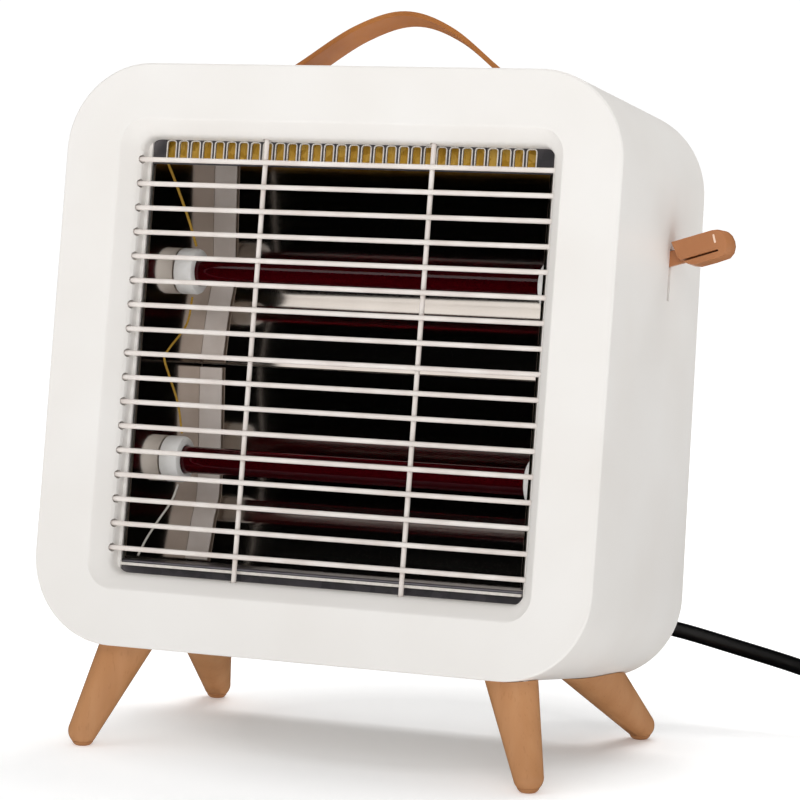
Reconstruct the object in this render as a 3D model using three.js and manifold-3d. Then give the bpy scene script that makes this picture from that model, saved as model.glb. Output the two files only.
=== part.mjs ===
// Portable quartz infrared heater: a leaning one-piece housing on four turned legs, with a wire guard,
// two ruby quartz tubes before polished reflectors, a selector lever, a carrying strap and a mains lead.
// Millimetres, +Z up, +X to the right of someone facing the guard, +Y to the back.
// The origin is on the floor, at the bottom centre of the box round the heater without its lead.

import * as THREE from 'three';
import { mergeVertices } from 'three/addons/utils/BufferGeometryUtils.js';
import Module from 'manifold-3d';

const wasm = await Module();
wasm.setup();

const half = 0.5;
const degree = Math.PI / 180;

// Clearances shared by all pieces
const gap = 0.3;
const runClearance = 0.08;
const cutOver = 1;

// Housing, in its own frame: front face at y = 0, underside at z = 0
const bodyWidth = 280;
const bodyHeight = 277;
const depthAtBottom = 142;
const depthAtTop = 127;
const cornerRadius = 42;
const skin = 2.5;
const edgeRadius = 1.2;
const leanDegrees = 7;
const cornerSteps = 10;

// Mouth of the housing round the guard: a flat border, then a soft lip down to the opening
const borderX = 28;
const borderZ = 26.25;
const lipX = 9.7;
const lipZ = 8.5;
const mouthWidth = bodyWidth - 2 * borderX;
const mouthHeight = bodyHeight - 2 * borderZ;
const mouthRadius = 16;
const openWidth = mouthWidth - 2 * lipX;
const openHeight = mouthHeight - 2 * lipZ;
const openRadius = 5;
const bezelDepth = 14.5;
const bezelWall = 1.8;
const filletInsetShares = [0.35, 0.6, 0.79];
const filletDepthShares = [0.08, 0.25, 0.5];

// Wire guard
const wireDiameter = 2.4;
const wireCount = 17;
const lowWireMargin = 11.45;
const highWireMargin = 10.45;
const lowestWire = borderZ + lipZ + lowWireMargin;
const wirePitch = (openHeight - lowWireMargin - highWireMargin) / (wireCount - 1);
const wireDepth = 8.7;
const wirePastWall = 3;
const wireHoleClearance = 0.4;
const weldSink = 0.4;
const uprightSpread = 84.5;
const uprightShift = 2.4;
const wireSides = 8;

// Sheet metal box behind the mouth
const sheet = 0.8;
const boxSideLap = 2.3;
const boxTopLap = 2.75;
const boxFloorLap = 6.25;
const boxToBack = 46;
const boxWidth = openWidth - 2 * boxSideLap;
const boxTop = bodyHeight - borderZ - lipZ + boxTopLap;
const boxFloor = borderZ + lipZ + boxFloorLap;
const boxDepth = depthAtBottom - boxToBack;
const flangeOverlap = 3.5;
const topFlangeDrop = 14.5;
const floorFlangeDrop = 11;
const slotWidth = 4.2;
const slotHeight = 9;
const slotPitch = 6.3;
const slotTopInset = 3.3;
const slotEndMargin = 4;
const boardThickness = 1.2;
const boardHeight = 12.5;
const boardSetback = 4;

// Reflectors: two troughs that meet in a ridge, as seen from the side
const ridgeShare = 0.485294;
const ridgeHeight = boxFloor + (boxTop - boxFloor) * ridgeShare;
const troughSwell = 9;
const troughToEdge = 4;
const ridgeDepth = boxDepth - troughSwell - troughToEdge;
const troughHeightShares = [1, 0.85, 0.7, 0.55, 0.42, 0.31, 0.22, 0.12, 0];
const troughDepthShares = [-0.35, -0.2, 0, 0.3, 0.65, 0.97, 0.7, 0.12, 0];
const cheekFlange = 12;
const cheekThickness = 1;

// Quartz tubes, filaments and ceramic caps
const tubeDiameter = 13;
const tubeWall = 1.2;
const tubeToRidge = 29;
const tubeEndInset = 4;
const lowerTubeShare = 0.245098;
const upperTubeShare = 0.696078;
const tubeDepth = ridgeDepth - tubeToRidge;
const lowerTubeHeight = boxFloor + (boxTop - boxFloor) * lowerTubeShare;
const upperTubeHeight = boxFloor + (boxTop - boxFloor) * upperTubeShare;
const tubeLength = boxWidth - 2 * tubeEndInset;
const filamentDiameter = 4.4;
const filamentInset = 8;
const filamentLength = tubeLength - 2 * filamentInset;
const leadDiameter = 1.6;
const capDiameter = 22.5;
const capLength = 9.7;
const capChamfer = 1.6;
const neckDiameter = 14;
const neckLength = 7;
const capLeadBore = 2.8;
const clipDiameter = 21;
const clipThickness = 1;
const clipMouth = 9;
const turnSides = 20;
const smallSides = 16;

// Leads in the box's left end. Each route's rows are shares of the way from its start at a cap to
// its end, along X, Y and Z; the link's two halves both run to the ridge between the tubes.
const leadSides = 6;
const leadSteps = 10;
const leadInset = 6.5;
const leadEndInset = 2;
const topLeadDepth = 23;
const topLeadDrop = 3;
const linkLeadToRidge = 46;
const linkLeadDrop = 1;
const floorLeadDepth = 26;
const floorLeadRise = 2;
const topLeadShares = [[0.333, 0.258, 0.271], [0.778, 0.677, 0.614], [1, 0.968, 0.829]];
const upperLinkShares = [[0.556, -0.059, 0.427], [0.889, 0.765, 0.842]];
const lowerLinkShares = [[0.444, 0.176, 0.411], [0.778, 0.706, 0.776]];
const floorLeadShares = [[0.333, 0.107, 0.243], [0.778, 0.429, 0.523], [1, 0.75, 0.776]];

// Selector lever, which turns on a pin across the housing's right wall
const pivotInset = 25;
const leverBehindTube = 27.5;
const leverDrop = 84;
const leverDepth = tubeDepth + leverBehindTube;
const leverHeight = bodyHeight - leverDrop;
const leverTiltDegrees = 17;
const stemHeight = 7;
const stemWidth = 3;
const stemReach = 40;
const bossRadius = 5;
const bossWidth = 8;
const leverPinDiameter = 3;
const paddleWidth = 13;
const paddleRoot = 29.6;
const paddleHeel = 37;
const paddleTip = 58.5;
const paddleShoulder = 50;
const paddleToe = 53.5;
const paddleTop = 7.6;
const paddleRootTop = 6.8;
const paddleBottom = 6.3;
const paddleBevel = 0.9;
const shutterRadius = 20.6;
const shutterThickness = 1.2;
const shutterWidth = 7;
const shutterHalfDegrees = 36;
const shutterSteps = 12;
const slotSideClearance = 0.4;
const slotEndClearance = 0.9;
const bracketSheet = 1;
const bracketSide = 0.6;
const bracketHeight = 46;
const bracketWidth = 26;
const bracketCheekHeight = 12;
const bracketWindowOver = 1;
const switchWidth = 16;
const switchHeight = 24;
const switchThickness = 7;
const leverPinOver = 1.5;

// Tip-over switch on the housing's floor: a pendulum that hangs between two cheeks
const tiltX = -40;
const tiltBehindBox = 16;
const tiltDepth = boxDepth + tiltBehindBox;
const tiltBaseLength = 34;
const tiltBaseWidth = 18;
const tiltPlate = 2;
const tiltCheekWidth = 12;
const tiltPivotHeight = 34;
const tiltHeadRoom = 5;
const tiltPinDiameter = 3;
const bobDiameter = 14;
const bobThickness = 8;
const armLength = 18;
const armWidth = 4;
const eyeDiameter = 8;
const microLength = 16;
const bobClearance = 0.6;

// Small electrical pieces
const cutoutDiameter = 17;
const cutoutHeight = 6;
const cutoutBehindTube = 16;
const cutoutOverTube = 25;
const terminalX = 30;
const terminalBehindBox = 16;
const terminalDepth = boxDepth + terminalBehindBox;
const terminalLength = 42;
const terminalWidth = 16;
const terminalHeight = 14;
const terminalBore = 4;
const terminalWays = 4;

// Legs: where each leaves the underside and where its tip stands, in the housing's frame
const frontTopInset = 41.7;
const frontTopDepth = 20;
const frontTipInset = 27.4;
const frontTipDepth = 11.7;
const frontTipDrop = 48.6;
const backTopInset = 35;
const backTopFromBack = 15;
const backTipInset = 24.3;
const backTipPastBack = 23.3;
const frontLegTop = { x: bodyWidth * half - frontTopInset, y: frontTopDepth };
const frontLegTip = { x: bodyWidth * half - frontTipInset, y: frontTipDepth, drop: frontTipDrop };
const backLegTop = { x: bodyWidth * half - backTopInset, y: depthAtBottom - backTopFromBack };
const backLegTip = { x: bodyWidth * half - backTipInset, y: depthAtBottom + backTipPastBack };
const legTopDiameter = 24;
const legTipDiameter = 14;
const legSteps = 5;
const legSides = 20;
const legTopOver = 24;
const padDiameter = 9.6;
const padThickness = 2;
const padEdge = 0.8;
const boltDiameter = 6;
const boltIntoLeg = 14;
const boltClearance = 0.4;
const legBossDiameter = 17;
const legBossReach = 15;
const nutDiameter = 11;
const nutHeight = 5;
const nutSides = 6;

// Carrying strap over the top
const strapDepth = 66;
const strapWidth = 18;
const strapThickness = 2.5;
const strapRise = 39;
const strapEndInset = 20;
const strapSpan = bodyWidth - 2 * (cornerRadius + strapEndInset);
const strapSteps = 28;
const strapFlankShares = [0, 0.16, 0.34, 0.5, 0.66, 0.84, 1];
const strapRiseShares = [0, 0.39, 0.83, 1, 0.83, 0.39, 0];
const strapSlotClearance = 0.6;
const strapPinDiameter = 3;
const strapPinOver = 5;
const strapEyeWall = 1.5;

// Back cover, its screws and the cord gland
const coverThickness = 2.5;
const coverInset = 1.5;
const ventRows = 7;
const ventColumns = 3;
const ventWidth = 52;
const ventHeight = 4.5;
const ventPitchX = 60;
const ventPitchZ = 11;
const upperVentDrop = 101;
const upperVentBase = bodyHeight - upperVentDrop;
const lowerVentBase = 56;
const screwInsetX = 23;
const screwInsetZ = 24;
const screwX = bodyWidth * half - screwInsetX;
const screwLow = screwInsetZ;
const screwHigh = bodyHeight - screwInsetZ;
const screwHeadDiameter = 7;
const screwHeadHeight = 2.2;
const screwDiameter = 3.4;
const screwLength = 14;
const screwClearance = 0.4;
const screwBossDiameter = 11;
const screwBossLength = 26;
const glandX = 75;
const glandHeight = 24;
const glandCollarDiameter = 17;
const glandCollarThickness = 3;
const glandNeckDiameter = 11;
const glandLength = 30;
const glandTipDiameter = 10;
const glandTail = 6;

// Mains lead from the gland to a tied coil on the floor, with its plug. The route's rows are shares of
// the way from the gland to the coil along X, Y and Z. The coil's centre is measured from the origin
// of the whole part.
const cordDiameter = 8;
const cordSides = 8;
const cordSteps = 17;
const cordStraight = 10;
const cordRouteShares = [
  [0.0237, 0.5242, 0.0307],
  [0.0896, 0.8811, 0.0572],
  [0.1804, 1.0159, 0.0947],
  [0.3451, 1.0264, 0.2515],
  [0.4933, 1.0264, 0.406],
  [0.6156, 1.0211, 0.565],
  [0.7191, 1.0106, 0.7417],
  [0.8132, 1.0026, 0.8962],
  [0.8979, 1, 0.9868],
  [0.9497, 1, 1.011],
];
const coilX = 280;
const coilY = 78;
const coilRadius = 56;
const windingGap = 0.75;
const coilPitch = cordDiameter + windingGap;
const lowerTurns = 2.5;
const climbTurns = 0.5;
const upperTurns = 2;
const loopSteps = 24;
const coilSides = 6;
const tailLength = 50;
const tailSteps = 5;
const floorClearance = 0.1;
const tieThickness = 1;
const tieWidth = 12;
const tieSlack = 1.2;
const plugDiameter = 37;
const plugLength = 30;
const plugNeckLength = 26;
const plugNeckDiameter = 13;
const plugShoulder = 4;
const plugPinDiameter = 4.8;
const plugPinLength = 19;
const plugPinSpacing = 19;

const lean = leanDegrees * degree;
const midHeight = bodyHeight * half;
const backSlope = (depthAtBottom - depthAtTop) / bodyHeight;
const backAt = (z) => depthAtBottom - backSlope * z;

// Colours and finishes seen on the object
const finishes = {
  shell: { color: 0xf1efea, roughness: 0.42, metalness: 0 },
  guard: { color: 0xe4dcd6, roughness: 0.35, metalness: 0.3 },
  mirror: { color: 0xd9d9d9, roughness: 0.08, metalness: 1 },
  galvanised: { color: 0x8f8c88, roughness: 0.45, metalness: 1 },
  mica: { color: 0xb08a2e, roughness: 0.6, metalness: 0 },
  ruby: { color: 0x5a0010, roughness: 0.06, metalness: 0 },
  filament: { color: 0x3a3532, roughness: 0.5, metalness: 1 },
  ceramic: { color: 0xf2f1ee, roughness: 0.5, metalness: 0 },
  steel: { color: 0xa9abad, roughness: 0.35, metalness: 1 },
  yellow: { color: 0xc19a2e, roughness: 0.6, metalness: 0 },
  silicone: { color: 0xdedad2, roughness: 0.5, metalness: 0 },
  tan: { color: 0xa8764b, roughness: 0.5, metalness: 0 },
  wood: { color: 0xb8824f, roughness: 0.45, metalness: 0 },
  leather: { color: 0xb6753f, roughness: 0.6, metalness: 0 },
  black: { color: 0x141416, roughness: 0.5, metalness: 0 },
  rubber: { color: 0x8d6038, roughness: 0.8, metalness: 0 },
};

// A geometry as one closed mesh: only positions, shared corners merged, no collapsed triangles
function closed(geometry) {
  const bare = geometry.clone();
  bare.deleteAttribute('normal');
  bare.deleteAttribute('uv');
  const merged = mergeVertices(bare);
  const index = [];
  for (let i = 0; i < merged.index.count; i += 3) {
    const corners = [0, 1, 2].map((k) => merged.index.getX(i + k));
    if (new Set(corners).size === 3) index.push(...corners);
  }
  merged.setIndex(index);
  return merged;
}

function solid(geometry) {
  const mesh = closed(geometry);
  return new wasm.Manifold(new wasm.Mesh({
    numProp: 3,
    vertProperties: new Float32Array(mesh.attributes.position.array),
    triVerts: new Uint32Array(mesh.index.array),
  }));
}

function geometryOf(manifold) {
  const mesh = manifold.getMesh();
  const geometry = new THREE.BufferGeometry();
  geometry.setAttribute('position', new THREE.BufferAttribute(new Float32Array(mesh.vertProperties), 3));
  geometry.setIndex(new THREE.BufferAttribute(new Uint32Array(mesh.triVerts), 1));
  return geometry;
}

const joined = (solids) => solids.reduce((whole, next) => whole.add(next));
const without = (whole, cutters) => cutters.reduce((left, next) => left.subtract(next), whole);

function piece(name, finish, geometry) {
  const mesh = new THREE.Mesh(geometry, new THREE.MeshStandardMaterial(finishes[finish]));
  mesh.name = name;
  return mesh;
}

const block = (x, y, z, from) => new THREE.BoxGeometry(x, y, z).translate(from[0], from[1], from[2]);

// A box given by its lowest and highest corner
function boxBetween(low, high) {
  const size = high.map((value, i) => value - low[i]);
  const middle = high.map((value, i) => (value + low[i]) * half);
  return block(...size, middle);
}

// A round bar between two points
function bar(from, to, radius, sides, tipRadius = radius) {
  const start = new THREE.Vector3(...from);
  const along = new THREE.Vector3(...to).sub(start);
  const geometry = new THREE.CylinderGeometry(tipRadius, radius, along.length(), sides);
  const upright = new THREE.Vector3(0, 1, 0);
  geometry.applyQuaternion(new THREE.Quaternion().setFromUnitVectors(upright, along.clone().normalize()));
  geometry.translate(...start.addScaledVector(along, half).toArray());
  return geometry;
}

// A turned piece about the X axis: profile points are [distance along X, radius]
function turnedX(points, sides) {
  const profile = points.map(([along, radius]) => new THREE.Vector2(radius, along));
  return new THREE.LatheGeometry(profile, sides).rotateZ(-Math.PI * half);
}

function roundedShape(width, height, radius) {
  const x = width * half;
  const z = height * half;
  const shape = new THREE.Shape();
  shape.moveTo(radius - x, -z);
  shape.lineTo(x - radius, -z);
  shape.absarc(x - radius, radius - z, radius, -Math.PI * half, 0);
  shape.lineTo(x, z - radius);
  shape.absarc(x - radius, z - radius, radius, 0, Math.PI * half);
  shape.lineTo(radius - x, z);
  shape.absarc(radius - x, z - radius, radius, Math.PI * half, Math.PI);
  shape.lineTo(-x, radius - z);
  shape.absarc(radius - x, radius - z, radius, Math.PI, Math.PI * 1.5);
  return shape;
}

// A shape drawn in X and Z, made thick along Y from one depth to another
function plateAcross(shape, fromY, toY, curveSegments = cornerSteps) {
  const settings = { depth: toY - fromY, bevelEnabled: false, curveSegments };
  return new THREE.ExtrudeGeometry(shape, settings).rotateX(Math.PI * half).translate(0, toY, 0);
}

// A shape drawn in Y and Z, made long along X, centred on x = 0 or shifted
function lengthAlongX(points, length, shift = 0) {
  const shape = new THREE.Shape(points.map(([y, z]) => new THREE.Vector2(y, z)));
  const geometry = new THREE.ExtrudeGeometry(shape, { depth: length, bevelEnabled: false });
  geometry.rotateX(Math.PI * half).rotateZ(Math.PI * half);
  return geometry.translate(shift - length * half, 0, 0);
}

// Housing: one moulding whose section runs round the mouth, the front face and the side walls
function ringStation(width, height, radius, depth) {
  const points = [];
  const x = width * half - radius;
  const z = height * half - radius;
  const corners = [[x, z, 0], [-x, z, 1], [-x, -z, 2], [x, -z, 3]];
  for (const [cx, cz, quarter] of corners) {
    for (let step = 0; step <= cornerSteps; step += 1) {
      const angle = (quarter + step / cornerSteps) * Math.PI * half;
      const height3 = midHeight + cz + radius * Math.sin(angle);
      const y = typeof depth === 'function' ? depth(height3) : depth;
      points.push([cx + radius * Math.cos(angle), y, height3]);
    }
  }
  return points;
}

function ringLoft(stations) {
  const count = stations[0].length;
  const positions = stations.flat(2);
  const index = [];
  stations.forEach((station, i) => {
    const next = (i + 1) % stations.length;
    for (let j = 0; j < count; j += 1) {
      const k = (j + 1) % count;
      const a = i * count + j;
      const b = i * count + k;
      const c = next * count + k;
      const d = next * count + j;
      index.push(a, b, c, a, c, d);
    }
  });
  const geometry = new THREE.BufferGeometry();
  geometry.setAttribute('position', new THREE.Float32BufferAttribute(positions, 3));
  geometry.setIndex(index);
  return geometry;
}

const shrunk = (by, depth) => ringStation(
  bodyWidth - 2 * by, bodyHeight - 2 * by, cornerRadius - by, depth,
);

function mouthStation(share, depth, outset = 0) {
  const blend = (from, to) => from + (to - from) * share;
  return ringStation(
    blend(mouthWidth, openWidth) + 2 * outset,
    blend(mouthHeight, openHeight) + 2 * outset,
    blend(mouthRadius, openRadius) + outset,
    depth,
  );
}

function housingShell() {
  const rounding = 1 - Math.SQRT1_2;
  const fillet = filletInsetShares.map((share, i) => mouthStation(share, filletDepthShares[i] * bezelDepth));
  const lastFillet = filletInsetShares.length - 1;
  const stations = [
    shrunk(0, backAt),
    shrunk(0, edgeRadius),
    shrunk(edgeRadius * rounding, edgeRadius * rounding),
    shrunk(edgeRadius, 0),
    mouthStation(0, 0),
    ...fillet,
    mouthStation(1, bezelDepth),
    mouthStation(1, bezelDepth, bezelWall),
    mouthStation(filletInsetShares[lastFillet], filletDepthShares[lastFillet] * bezelDepth, bezelWall),
    mouthStation(filletInsetShares[0], skin, bezelWall * half),
    shrunk(skin, skin),
    shrunk(skin, backAt),
  ];
  return ringLoft(stations);
}

// Wire guard: level wires through the mouth's side walls, welded to two uprights behind them
const wireRadius = wireDiameter * half;
const wireHeights = Array.from({ length: wireCount }, (_, i) => lowestWire + i * wirePitch);
const wireReach = openWidth * half + bezelWall + wirePastWall;
const uprightDepth = wireDepth + wireDiameter - weldSink;
const uprightReach = openHeight * half + bezelWall + wirePastWall;
const uprightXs = [uprightShift - uprightSpread * half, uprightShift + uprightSpread * half];

function guardBars(radius, over) {
  const across = wireHeights.map((z) => bar(
    [-wireReach - over, wireDepth, z], [wireReach + over, wireDepth, z], radius, wireSides,
  ));
  const upright = uprightXs.map((x) => bar(
    [x, uprightDepth, midHeight - uprightReach - over],
    [x, uprightDepth, midHeight + uprightReach + over],
    radius, wireSides,
  ));
  return [...across, ...upright];
}

const guard = joined(guardBars(wireRadius, 0).map(solid));
const guardHoles = guardBars(wireRadius + wireHoleClearance, cutOver).map(solid);

// Sheet metal box: top plate with its slotted front flange, and floor plate with its plain one
const flangeFront = bezelDepth + gap;
const flangeBack = flangeFront + sheet;
const plateLength = openWidth + 2 * flangeOverlap;
const slotTop = boxTop - slotTopInset;

function topPlate() {
  const low = boxTop - topFlangeDrop;
  const profile = [
    [flangeFront, low], [flangeBack, low], [flangeBack, boxTop - sheet],
    [boxDepth, boxTop - sheet], [boxDepth, boxTop], [flangeFront, boxTop],
  ];
  const count = Math.floor((boxWidth - 2 * slotEndMargin - slotWidth) / slotPitch) + 1;
  const first = -(count - 1) * slotPitch * half;
  const slots = Array.from({ length: count }, (_, i) => solid(boxBetween(
    [first + i * slotPitch - slotWidth * half, flangeFront - cutOver, slotTop - slotHeight],
    [first + i * slotPitch + slotWidth * half, flangeBack + cutOver, slotTop],
  )));
  return geometryOf(without(solid(lengthAlongX(profile, plateLength)), slots));
}

function floorPlate() {
  const low = boxFloor - floorFlangeDrop;
  const profile = [
    [flangeFront, low], [flangeBack, low], [flangeBack, boxFloor - sheet],
    [boxDepth, boxFloor - sheet], [boxDepth, boxFloor], [flangeFront, boxFloor],
  ];
  return lengthAlongX(profile, plateLength);
}

function micaBoard() {
  const top = boxTop - sheet - gap;
  const front = flangeBack + boardSetback;
  const reach = boxWidth * half - gap;
  return boxBetween([-reach, front, top - boardHeight], [reach, front + boardThickness, top]);
}

// One reflector sheet, from the height of its lower edge to that of its upper edge
function troughLine(lowZ, highZ, setback) {
  return troughHeightShares.map((share, i) => [
    ridgeDepth + troughDepthShares[i] * troughSwell - setback,
    lowZ + share * (highZ - lowZ),
  ]);
}

function sheetAlongX(line, length, shift = 0) {
  const back = [...line].reverse().map(([y, z]) => [y + sheet, z]);
  return lengthAlongX([...line, ...back], length, shift);
}

const innerFloor = boxFloor + gap;
const innerTop = boxTop - sheet - gap;
const reflectorLength = boxWidth - 2 * gap;
const upperTrough = (setback) => troughLine(ridgeHeight + gap * half, innerTop, setback);
const lowerTrough = (setback) => troughLine(innerFloor, ridgeHeight - gap * half, setback);

// End cheek of the box: a polished plate whose back edge is folded in before the two troughs
function endCheek(side) {
  const inner = boxWidth * half;
  const outer = inner + cheekThickness;
  const xs = side > 0 ? [inner, outer] : [-outer, -inner];
  const plate = solid(boxBetween([xs[0], flangeBack + gap, innerFloor], [xs[1], boxDepth, innerTop]));
  const holes = [lowerTubeHeight, upperTubeHeight].map((z) => solid(bar(
    [xs[0] - cutOver, tubeDepth, z], [xs[1] + cutOver, tubeDepth, z],
    neckDiameter * half + gap, turnSides,
  )));
  const foldLength = cheekFlange + cheekThickness;
  const shift = side * (inner - cheekFlange * half + cheekThickness * half);
  const setback = sheet + gap;
  const line = [...upperTrough(setback), ...lowerTrough(setback)];
  const fold = solid(sheetAlongX(line, foldLength, shift));
  return geometryOf(without(plate.add(fold), holes));
}

// Quartz tube, filament and the two ceramic caps that hold them
function quartzTube() {
  const outer = tubeDiameter * half;
  const inner = outer - tubeWall;
  const end = tubeLength * half;
  return turnedX([[-end, inner], [-end, outer], [end, outer], [end, inner], [-end, inner]], turnSides);
}

const capInner = boxWidth * half - gap - capLength;
const capShoulder = boxWidth * half - gap;
const neckEnd = boxWidth * half + neckLength;

function filament() {
  const coil = filamentDiameter * half;
  const lead = leadDiameter * half;
  const coilEnd = filamentLength * half;
  const leadEnd = neckEnd + neckLength * half;
  const profile = [
    [-leadEnd, 0], [-leadEnd, lead], [-coilEnd, lead], [-coilEnd, coil],
    [coilEnd, coil], [coilEnd, lead], [leadEnd, lead], [leadEnd, 0],
  ];
  return turnedX(profile, smallSides);
}

function ceramicCap(side) {
  const outer = capDiameter * half;
  const seat = tubeDiameter * half + gap;
  const seatEnd = tubeLength * half + gap;
  const profile = [
    [capInner, seat], [capInner, outer - capChamfer], [capInner + capChamfer, outer],
    [capShoulder, outer], [capShoulder, neckDiameter * half], [neckEnd, neckDiameter * half],
    [neckEnd, capLeadBore * half], [seatEnd, capLeadBore * half], [seatEnd, seat], [capInner, seat],
  ];
  const geometry = turnedX(profile, turnSides);
  return side > 0 ? geometry : geometry.rotateZ(Math.PI);
}

// Spring clip that grips a cap's neck behind the cheek
function capClip(side) {
  const start = boxWidth * half + cheekThickness + gap;
  const bore = neckDiameter * half + gap;
  const ring = turnedX([
    [start, bore], [start, clipDiameter * half], [start + clipThickness, clipDiameter * half],
    [start + clipThickness, bore], [start, bore],
  ], turnSides);
  const mouth = boxBetween(
    [start - cutOver, -clipMouth * half, -clipDiameter],
    [start + clipThickness + cutOver, clipMouth * half, 0],
  );
  const clip = geometryOf(solid(ring).subtract(solid(mouth)));
  return side > 0 ? clip : clip.rotateZ(Math.PI);
}

// A round lead along hand-chosen points
function leadAlong(points, diameter, sides, steps) {
  const path = new THREE.CatmullRomCurve3(points.map((p) => new THREE.Vector3(...p)), false, 'centripetal');
  const section = new THREE.Shape();
  for (let i = 0; i < sides; i += 1) {
    const angle = (i / sides) * Math.PI * 2;
    const x = Math.cos(angle) * diameter * half;
    const y = Math.sin(angle) * diameter * half;
    if (i === 0) section.moveTo(x, y);
    else section.lineTo(x, y);
  }
  return new THREE.ExtrudeGeometry(section, { steps, bevelEnabled: false, extrudePath: path });
}

// Points between two ends, each row giving its shares of the way along X, Y and Z
const routeBetween = (start, end, rows) => rows.map((row) => row.map(
  (share, axis) => start[axis] + (end[axis] - start[axis]) * share,
));

// Lead routes in the box's left end, in the housing's frame
const leadX = leadInset - boxWidth * half;
const leadEndX = leadEndInset - boxWidth * half;
const capClear = capDiameter * half + gap + leadDiameter * half;
const overUpperCap = [leadX, tubeDepth, upperTubeHeight + capClear];
const underUpperCap = [leadX, tubeDepth, upperTubeHeight - capClear];
const overLowerCap = [leadX, tubeDepth, lowerTubeHeight + capClear];
const underLowerCap = [leadX, tubeDepth, lowerTubeHeight - capClear];
const topLeadEnd = [leadEndX, topLeadDepth, boxTop - topLeadDrop];
const linkMiddle = [leadEndX, ridgeDepth - linkLeadToRidge, ridgeHeight - linkLeadDrop];
const floorLeadEnd = [leadEndX, floorLeadDepth, boxFloor + floorLeadRise];
const topLeadRoute = [
  overUpperCap, ...routeBetween(overUpperCap, topLeadEnd, topLeadShares), topLeadEnd,
];
const linkLeadRoute = [
  underUpperCap, ...routeBetween(underUpperCap, linkMiddle, upperLinkShares), linkMiddle,
  ...routeBetween(overLowerCap, linkMiddle, lowerLinkShares).reverse(), overLowerCap,
];
const floorLeadRoute = [
  underLowerCap, ...routeBetween(underLowerCap, floorLeadEnd, floorLeadShares), floorLeadEnd,
];

// Bores of the two pieces that turn on pins
const leverBore = leverPinDiameter * half + runClearance;
const tiltBore = tiltPinDiameter * half + runClearance;

// Selector lever in its own frame: pin at the origin, stem along +X
function selectorLever() {
  const boss = solid(bar([0, -bossWidth * half, 0], [0, bossWidth * half, 0], bossRadius, turnSides));
  const stem = solid(boxBetween(
    [0, -stemWidth * half, -stemHeight * half], [stemReach, stemWidth * half, stemHeight * half],
  ));
  const outline = new THREE.Shape();
  outline.moveTo(paddleRoot, paddleRootTop);
  outline.lineTo(paddleHeel, -paddleBottom);
  outline.lineTo(paddleToe, -paddleBottom);
  outline.quadraticCurveTo(paddleTip, -paddleBottom, paddleTip, -paddleBottom * half * half);
  outline.quadraticCurveTo(paddleTip, paddleTop, paddleShoulder, paddleTop);
  const settings = {
    depth: paddleWidth - 2 * paddleBevel, curveSegments: 6,
    bevelEnabled: true, bevelSegments: 2,
    bevelThickness: paddleBevel, bevelSize: paddleBevel, bevelOffset: -paddleBevel,
  };
  const paddle = new THREE.ExtrudeGeometry(outline, settings);
  paddle.rotateX(Math.PI * half).translate(0, paddleWidth * half - paddleBevel, 0);
  const spread = shutterHalfDegrees * degree;
  const arc = (radius, sign) => Array.from({ length: shutterSteps + 1 }, (_, i) => {
    const angle = sign * spread * (2 * i / shutterSteps - 1);
    return new THREE.Vector2(radius * Math.cos(angle), radius * Math.sin(angle));
  });
  const sector = new THREE.Shape([...arc(shutterRadius, 1), ...arc(shutterRadius - shutterThickness, -1)]);
  const shutter = solid(plateAcross(sector, -shutterWidth * half, shutterWidth * half));
  const bore = solid(bar([0, -bossWidth, 0], [0, bossWidth, 0], leverBore, smallSides));
  return geometryOf(joined([boss, stem, solid(paddle), shutter]).subtract(bore));
}

// How far the stem's edge stands above the pin's level where it passes the wall's outer face
const leverTilt = leverTiltDegrees * degree;
const stemEdge = pivotInset * Math.tan(leverTilt) + stemHeight * half / Math.cos(leverTilt);
const leverSlotHalf = stemEdge + slotEndClearance;
const pivotX = bodyWidth * half - pivotInset;
const wallInside = bodyWidth * half - skin;
const cheekInside = bossWidth * half + bracketSide;
const cheekOutside = cheekInside + bracketSheet;

function leverSlot() {
  const side = stemWidth * half + slotSideClearance;
  return boxBetween(
    [wallInside - cutOver, leverDepth - side, leverHeight - leverSlotHalf],
    [bodyWidth * half + cutOver, leverDepth + side, leverHeight + leverSlotHalf],
  );
}

// Bracket in the frame of the pin: a plate behind the wall with two cheeks that carry the pin
function leverBracket() {
  const back = pivotInset - skin - gap;
  const front = back - bracketSheet;
  const plate = solid(boxBetween(
    [front, -bracketWidth * half, -bracketHeight * half], [back, bracketWidth * half, bracketHeight * half],
  ));
  const windowSide = cheekInside;
  const window = solid(boxBetween(
    [front - cutOver, -windowSide, -leverSlotHalf - bracketWindowOver],
    [back + cutOver, windowSide, leverSlotHalf + bracketWindowOver],
  ));
  const cheekEnd = -bossRadius - bracketSheet;
  const cheeks = [[-cheekOutside, -cheekInside], [cheekInside, cheekOutside]].map(
    ([low, high]) => solid(boxBetween(
      [cheekEnd, low, -bracketCheekHeight * half],
      [front + bracketSheet * half, high, bracketCheekHeight * half],
    )),
  );
  const bore = solid(bar([0, -bracketWidth, 0], [0, bracketWidth, 0], leverBore, smallSides));
  return geometryOf(joined([plate.subtract(window), ...cheeks]).subtract(bore));
}

function leverPin() {
  const end = cheekOutside + leverPinOver;
  return bar([0, -end, 0], [0, end, 0], leverPinDiameter * half, smallSides);
}

// Switch block between the cheeks' ends and the box, worked by the lever's boss
function selectorSwitch() {
  const right = -bossRadius - bracketSheet - gap;
  return boxBetween(
    [right - switchThickness, -switchWidth * half, -switchHeight * half],
    [right, switchWidth * half, switchHeight * half],
  );
}

// Tip-over switch in the frame of its pivot, with the base resting on the housing's floor
const tiltBase = tiltPivotHeight;
const tiltCheekInside = bobThickness * half + gap + gap;
const tiltCheekOutside = tiltCheekInside + tiltPlate;

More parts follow.
